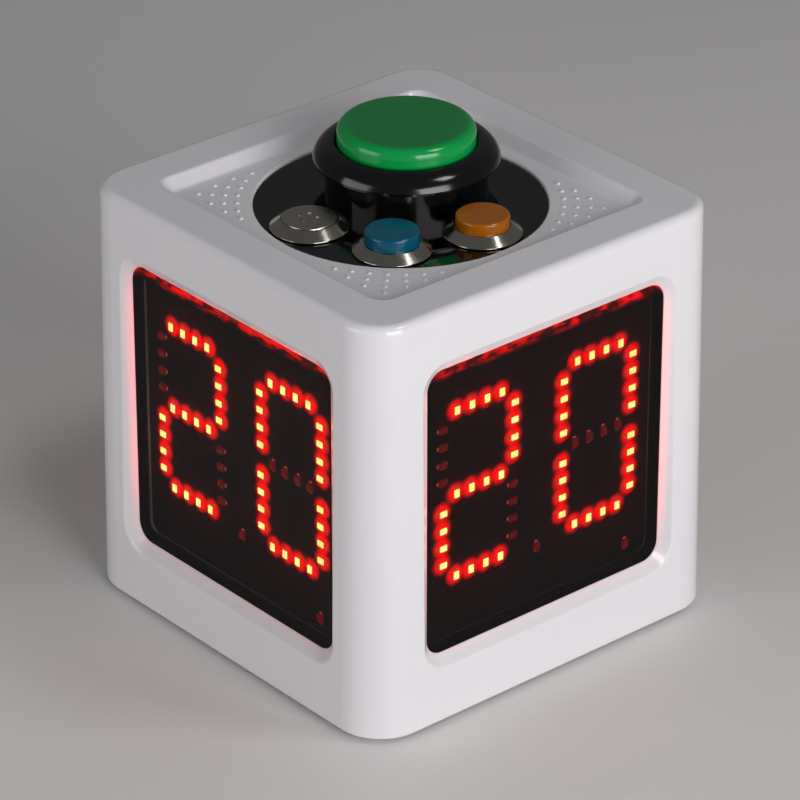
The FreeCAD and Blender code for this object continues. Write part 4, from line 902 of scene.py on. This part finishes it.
class CLOCK_OT_large_button(bpy.types.Operator):
    """Finishes the large button, its lamp and the lever switch under it."""
    bl_idname = "clock.large_button"
    bl_label = "Large button"

    def execute(self, context):
        low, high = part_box("main_cap")
        axis = ((low.x + high.x) / 2, (low.y + high.y) / 2, 0.0)
        coat(polished_plate(), "top_plate")
        coat(bezel_abs(), "main_bezel", "main_collar")
        coat(cap_polycarbonate(context.scene.clock_colours, axis, (high.x - low.x) / 2), "main_cap")
        coat(milky_polycarbonate(), "main_stem")
        coat(black_nylon(), "main_nut", "lamp_holder")
        coat(clear_lamp(), "main_lamp")
        coat(phenolic(), "switch_body", "button_inserts")
        coat(red_acetal(), "switch_tappet")
        return {"FINISHED"}


class CLOCK_OT_small_buttons(bpy.types.Operator):
    """Finishes the three small metal buttons and their keys."""
    bl_idname = "clock.small_buttons"
    bl_label = "Small buttons"

    def execute(self, context):
        colours = context.scene.clock_colours
        for name in SMALL_BUTTONS:
            low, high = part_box(f"{name}_bezel")
            axis = ((low.x + high.x) / 2, (low.y + high.y) / 2, 0.0)
            coat(turned_steel(f"turned_steel_{name}", colours.steel, axis), f"{name}_bezel")
            if name == "steel":
                coat(turned_steel("faced_steel_key", colours.steel, axis, 0.28, 0.24), "steel_key")
        coat(key_polycarbonate("blue_polycarbonate", colours.blue), "blue_key")
        coat(key_polycarbonate("amber_polycarbonate", colours.orange), "orange_key")
        coat(zinc_screw(), "button_nuts")
        return {"FINISHED"}


class CLOCK_OT_springs(bpy.types.Operator):
    """Makes the return springs and finishes the lever."""
    bl_idname = "clock.springs"
    bl_label = "Springs"

    def execute(self, context):
        wire_finish = spring_wire()
        coat(wire_finish, "switch_lever")
        for joint in frame["joints"]:
            for held in joint.get("deforming_nodes", []):
                node = held["node"]
                low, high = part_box(node)
                pitch, wire = MAIN_COIL if node == "main_spring" else SMALL_COIL
                points, faces = coil_shape(low, high, pitch, wire)
                coil = make_piece(f"{node}_coil", points, faces, "case",
                                  wire_finish)
                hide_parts(node)
                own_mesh(coil)
        return {"FINISHED"}


class CLOCK_OT_electronics(bpy.types.Operator):
    """Finishes what is inside: board, chips, cell, socket and cables."""
    bl_idname = "clock.electronics"
    bl_label = "Electronics"

    def execute(self, context):
        coat(green_board(), "main_board")
        coat(chip_epoxy(), "driver_chips", "buzzer")
        coat(white_nylon("header_nylon"), "board_headers")
        coat(drawn_aluminium(), "capacitors")
        coat(plated_shell(), "charging_socket")
        coat(black_nylon(), "cell_cradle")
        coat(shrink_sleeve(), "battery_cell")
        coat(nickel_strip(), "cell_contacts")
        coat(ribbon_vinyl(), "ribbon_cables")
        coat(lead_vinyl(), "switch_leads")
        return {"FINISHED"}


class CLOCK_OT_stage(bpy.types.Operator):
    """Makes the floor, the soft lights and the camera."""
    bl_idname = "clock.stage"
    bl_label = "Stage"

    def execute(self, context):
        self.make_floor(context)
        self.make_light(context, "key", (1.2, -0.15, 0.42), (0.8, 0.7), 11.0)
        self.make_light(context, "fill", (-0.3, -1.2, 0.4), (0.8, 0.7), 4.4)
        self.make_light(context, "top", (0.5, 0.3, 1.0), (0.25, 0.25), 1.8)
        world = bpy.data.worlds.new("studio")
        world.use_nodes = True
        ground = world.node_tree.nodes["Background"]
        ground.inputs["Color"].default_value = linear("#c9c9cc")
        ground.inputs["Strength"].default_value = 0.2
        context.scene.world = world
        context.scene.view_settings.view_transform = "Standard"
        self.make_camera(context)
        return {"FINISHED"}

    def make_floor(self, context):
        """A level square at the height the feet stand on."""
        reach = 4.0
        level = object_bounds()[0][2]
        corners = np.array([[-reach, -reach, level], [reach, -reach, level], [reach, reach, level],
                            [-reach, reach, level]])
        mesh = bpy.data.meshes.new("floor")
        mesh.from_pydata(corners.tolist(), [], [(0, 1, 2, 3)])
        colour = tuple(context.scene.clock_colours.floor)
        mesh.materials.append(finish("pale_matt_floor", colour, 0.5, uneven=0.06, tone=0.03,
                                     tone_size=120.0, grain=0.01, grain_size=1.5))
        floor = bpy.data.objects.new("floor", mesh)
        context.scene.collection.objects.link(floor)
        floor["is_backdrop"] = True

    def make_light(self, context, name, place, size, power):
        """A soft rectangular light that looks at the middle of the clock."""
        lamp = bpy.data.lights.new(name, "AREA")
        lamp.shape = "RECTANGLE"
        lamp.size, lamp.size_y = size
        lamp.energy = power
        holder = bpy.data.objects.new(name, lamp)
        holder.location = place
        self.aim(holder, (0.0, 0.0, 0.06))
        context.scene.collection.objects.link(holder)

    def aim(self, item, target):
        way = Vector(target) - item.location
        item.rotation_euler = way.to_track_quat("-Z", "Y").to_euler()

    def make_camera(self, context):
        """A long lens from the front right, above."""
        azimuth = math.radians(49.44)
        elevation = math.radians(28.25)
        distance = 1.17794
        target = (0.0, 0.0, 0.0542)
        lens = bpy.data.cameras.new("camera")
        lens.lens = 214.0
        lens.sensor_width = 36.0
        lens.shift_x = -0.0008
        lens.shift_y = -0.0028
        camera = bpy.data.objects.new("camera", lens)
        camera.location = (
            target[0] + distance * math.sin(azimuth) * math.cos(elevation),
            target[1] - distance * math.cos(azimuth) * math.cos(elevation),
            target[2] + distance * math.sin(elevation))
        self.aim(camera, target)
        context.scene.collection.objects.link(camera)
        context.scene.camera = camera


class CLOCK_PT_panel(bpy.types.Panel):
    """Lists the clock's colours, sizes and pieces."""
    bl_idname = "CLOCK_PT_panel"
    bl_label = "Game Clock"
    bl_space_type = "VIEW_3D"
    bl_region_type = "UI"
    bl_category = "Game Clock"

    def draw(self, context):
        for group in (context.scene.clock_colours, context.scene.clock_sizes):
            box = self.layout.box()
            for name in group.__annotations__:
                box.prop(group, name)
        for operator in OPERATORS:
            self.layout.operator(operator.bl_idname)


OPERATORS = (CLOCK_OT_case, CLOCK_OT_windows, CLOCK_OT_displays, CLOCK_OT_large_button,
             CLOCK_OT_small_buttons, CLOCK_OT_springs, CLOCK_OT_electronics, CLOCK_OT_stage)
CLASSES = (ClockColours, ClockSizes, *OPERATORS, CLOCK_PT_panel)


def register():
    for item in CLASSES:
        bpy.utils.register_class(item)
    bpy.types.Scene.clock_colours = bpy.props.PointerProperty(type=ClockColours)
    bpy.types.Scene.clock_sizes = bpy.props.PointerProperty(type=ClockSizes)


def unregister():
    del bpy.types.Scene.clock_sizes
    del bpy.types.Scene.clock_colours
    for item in reversed(CLASSES):
        bpy.utils.unregister_class(item)


def main():
    register()
    for operator in OPERATORS:
        group, name = operator.bl_idname.split(".")
        getattr(getattr(bpy.ops, group), name)()


if __name__ == "__main__":
    main()
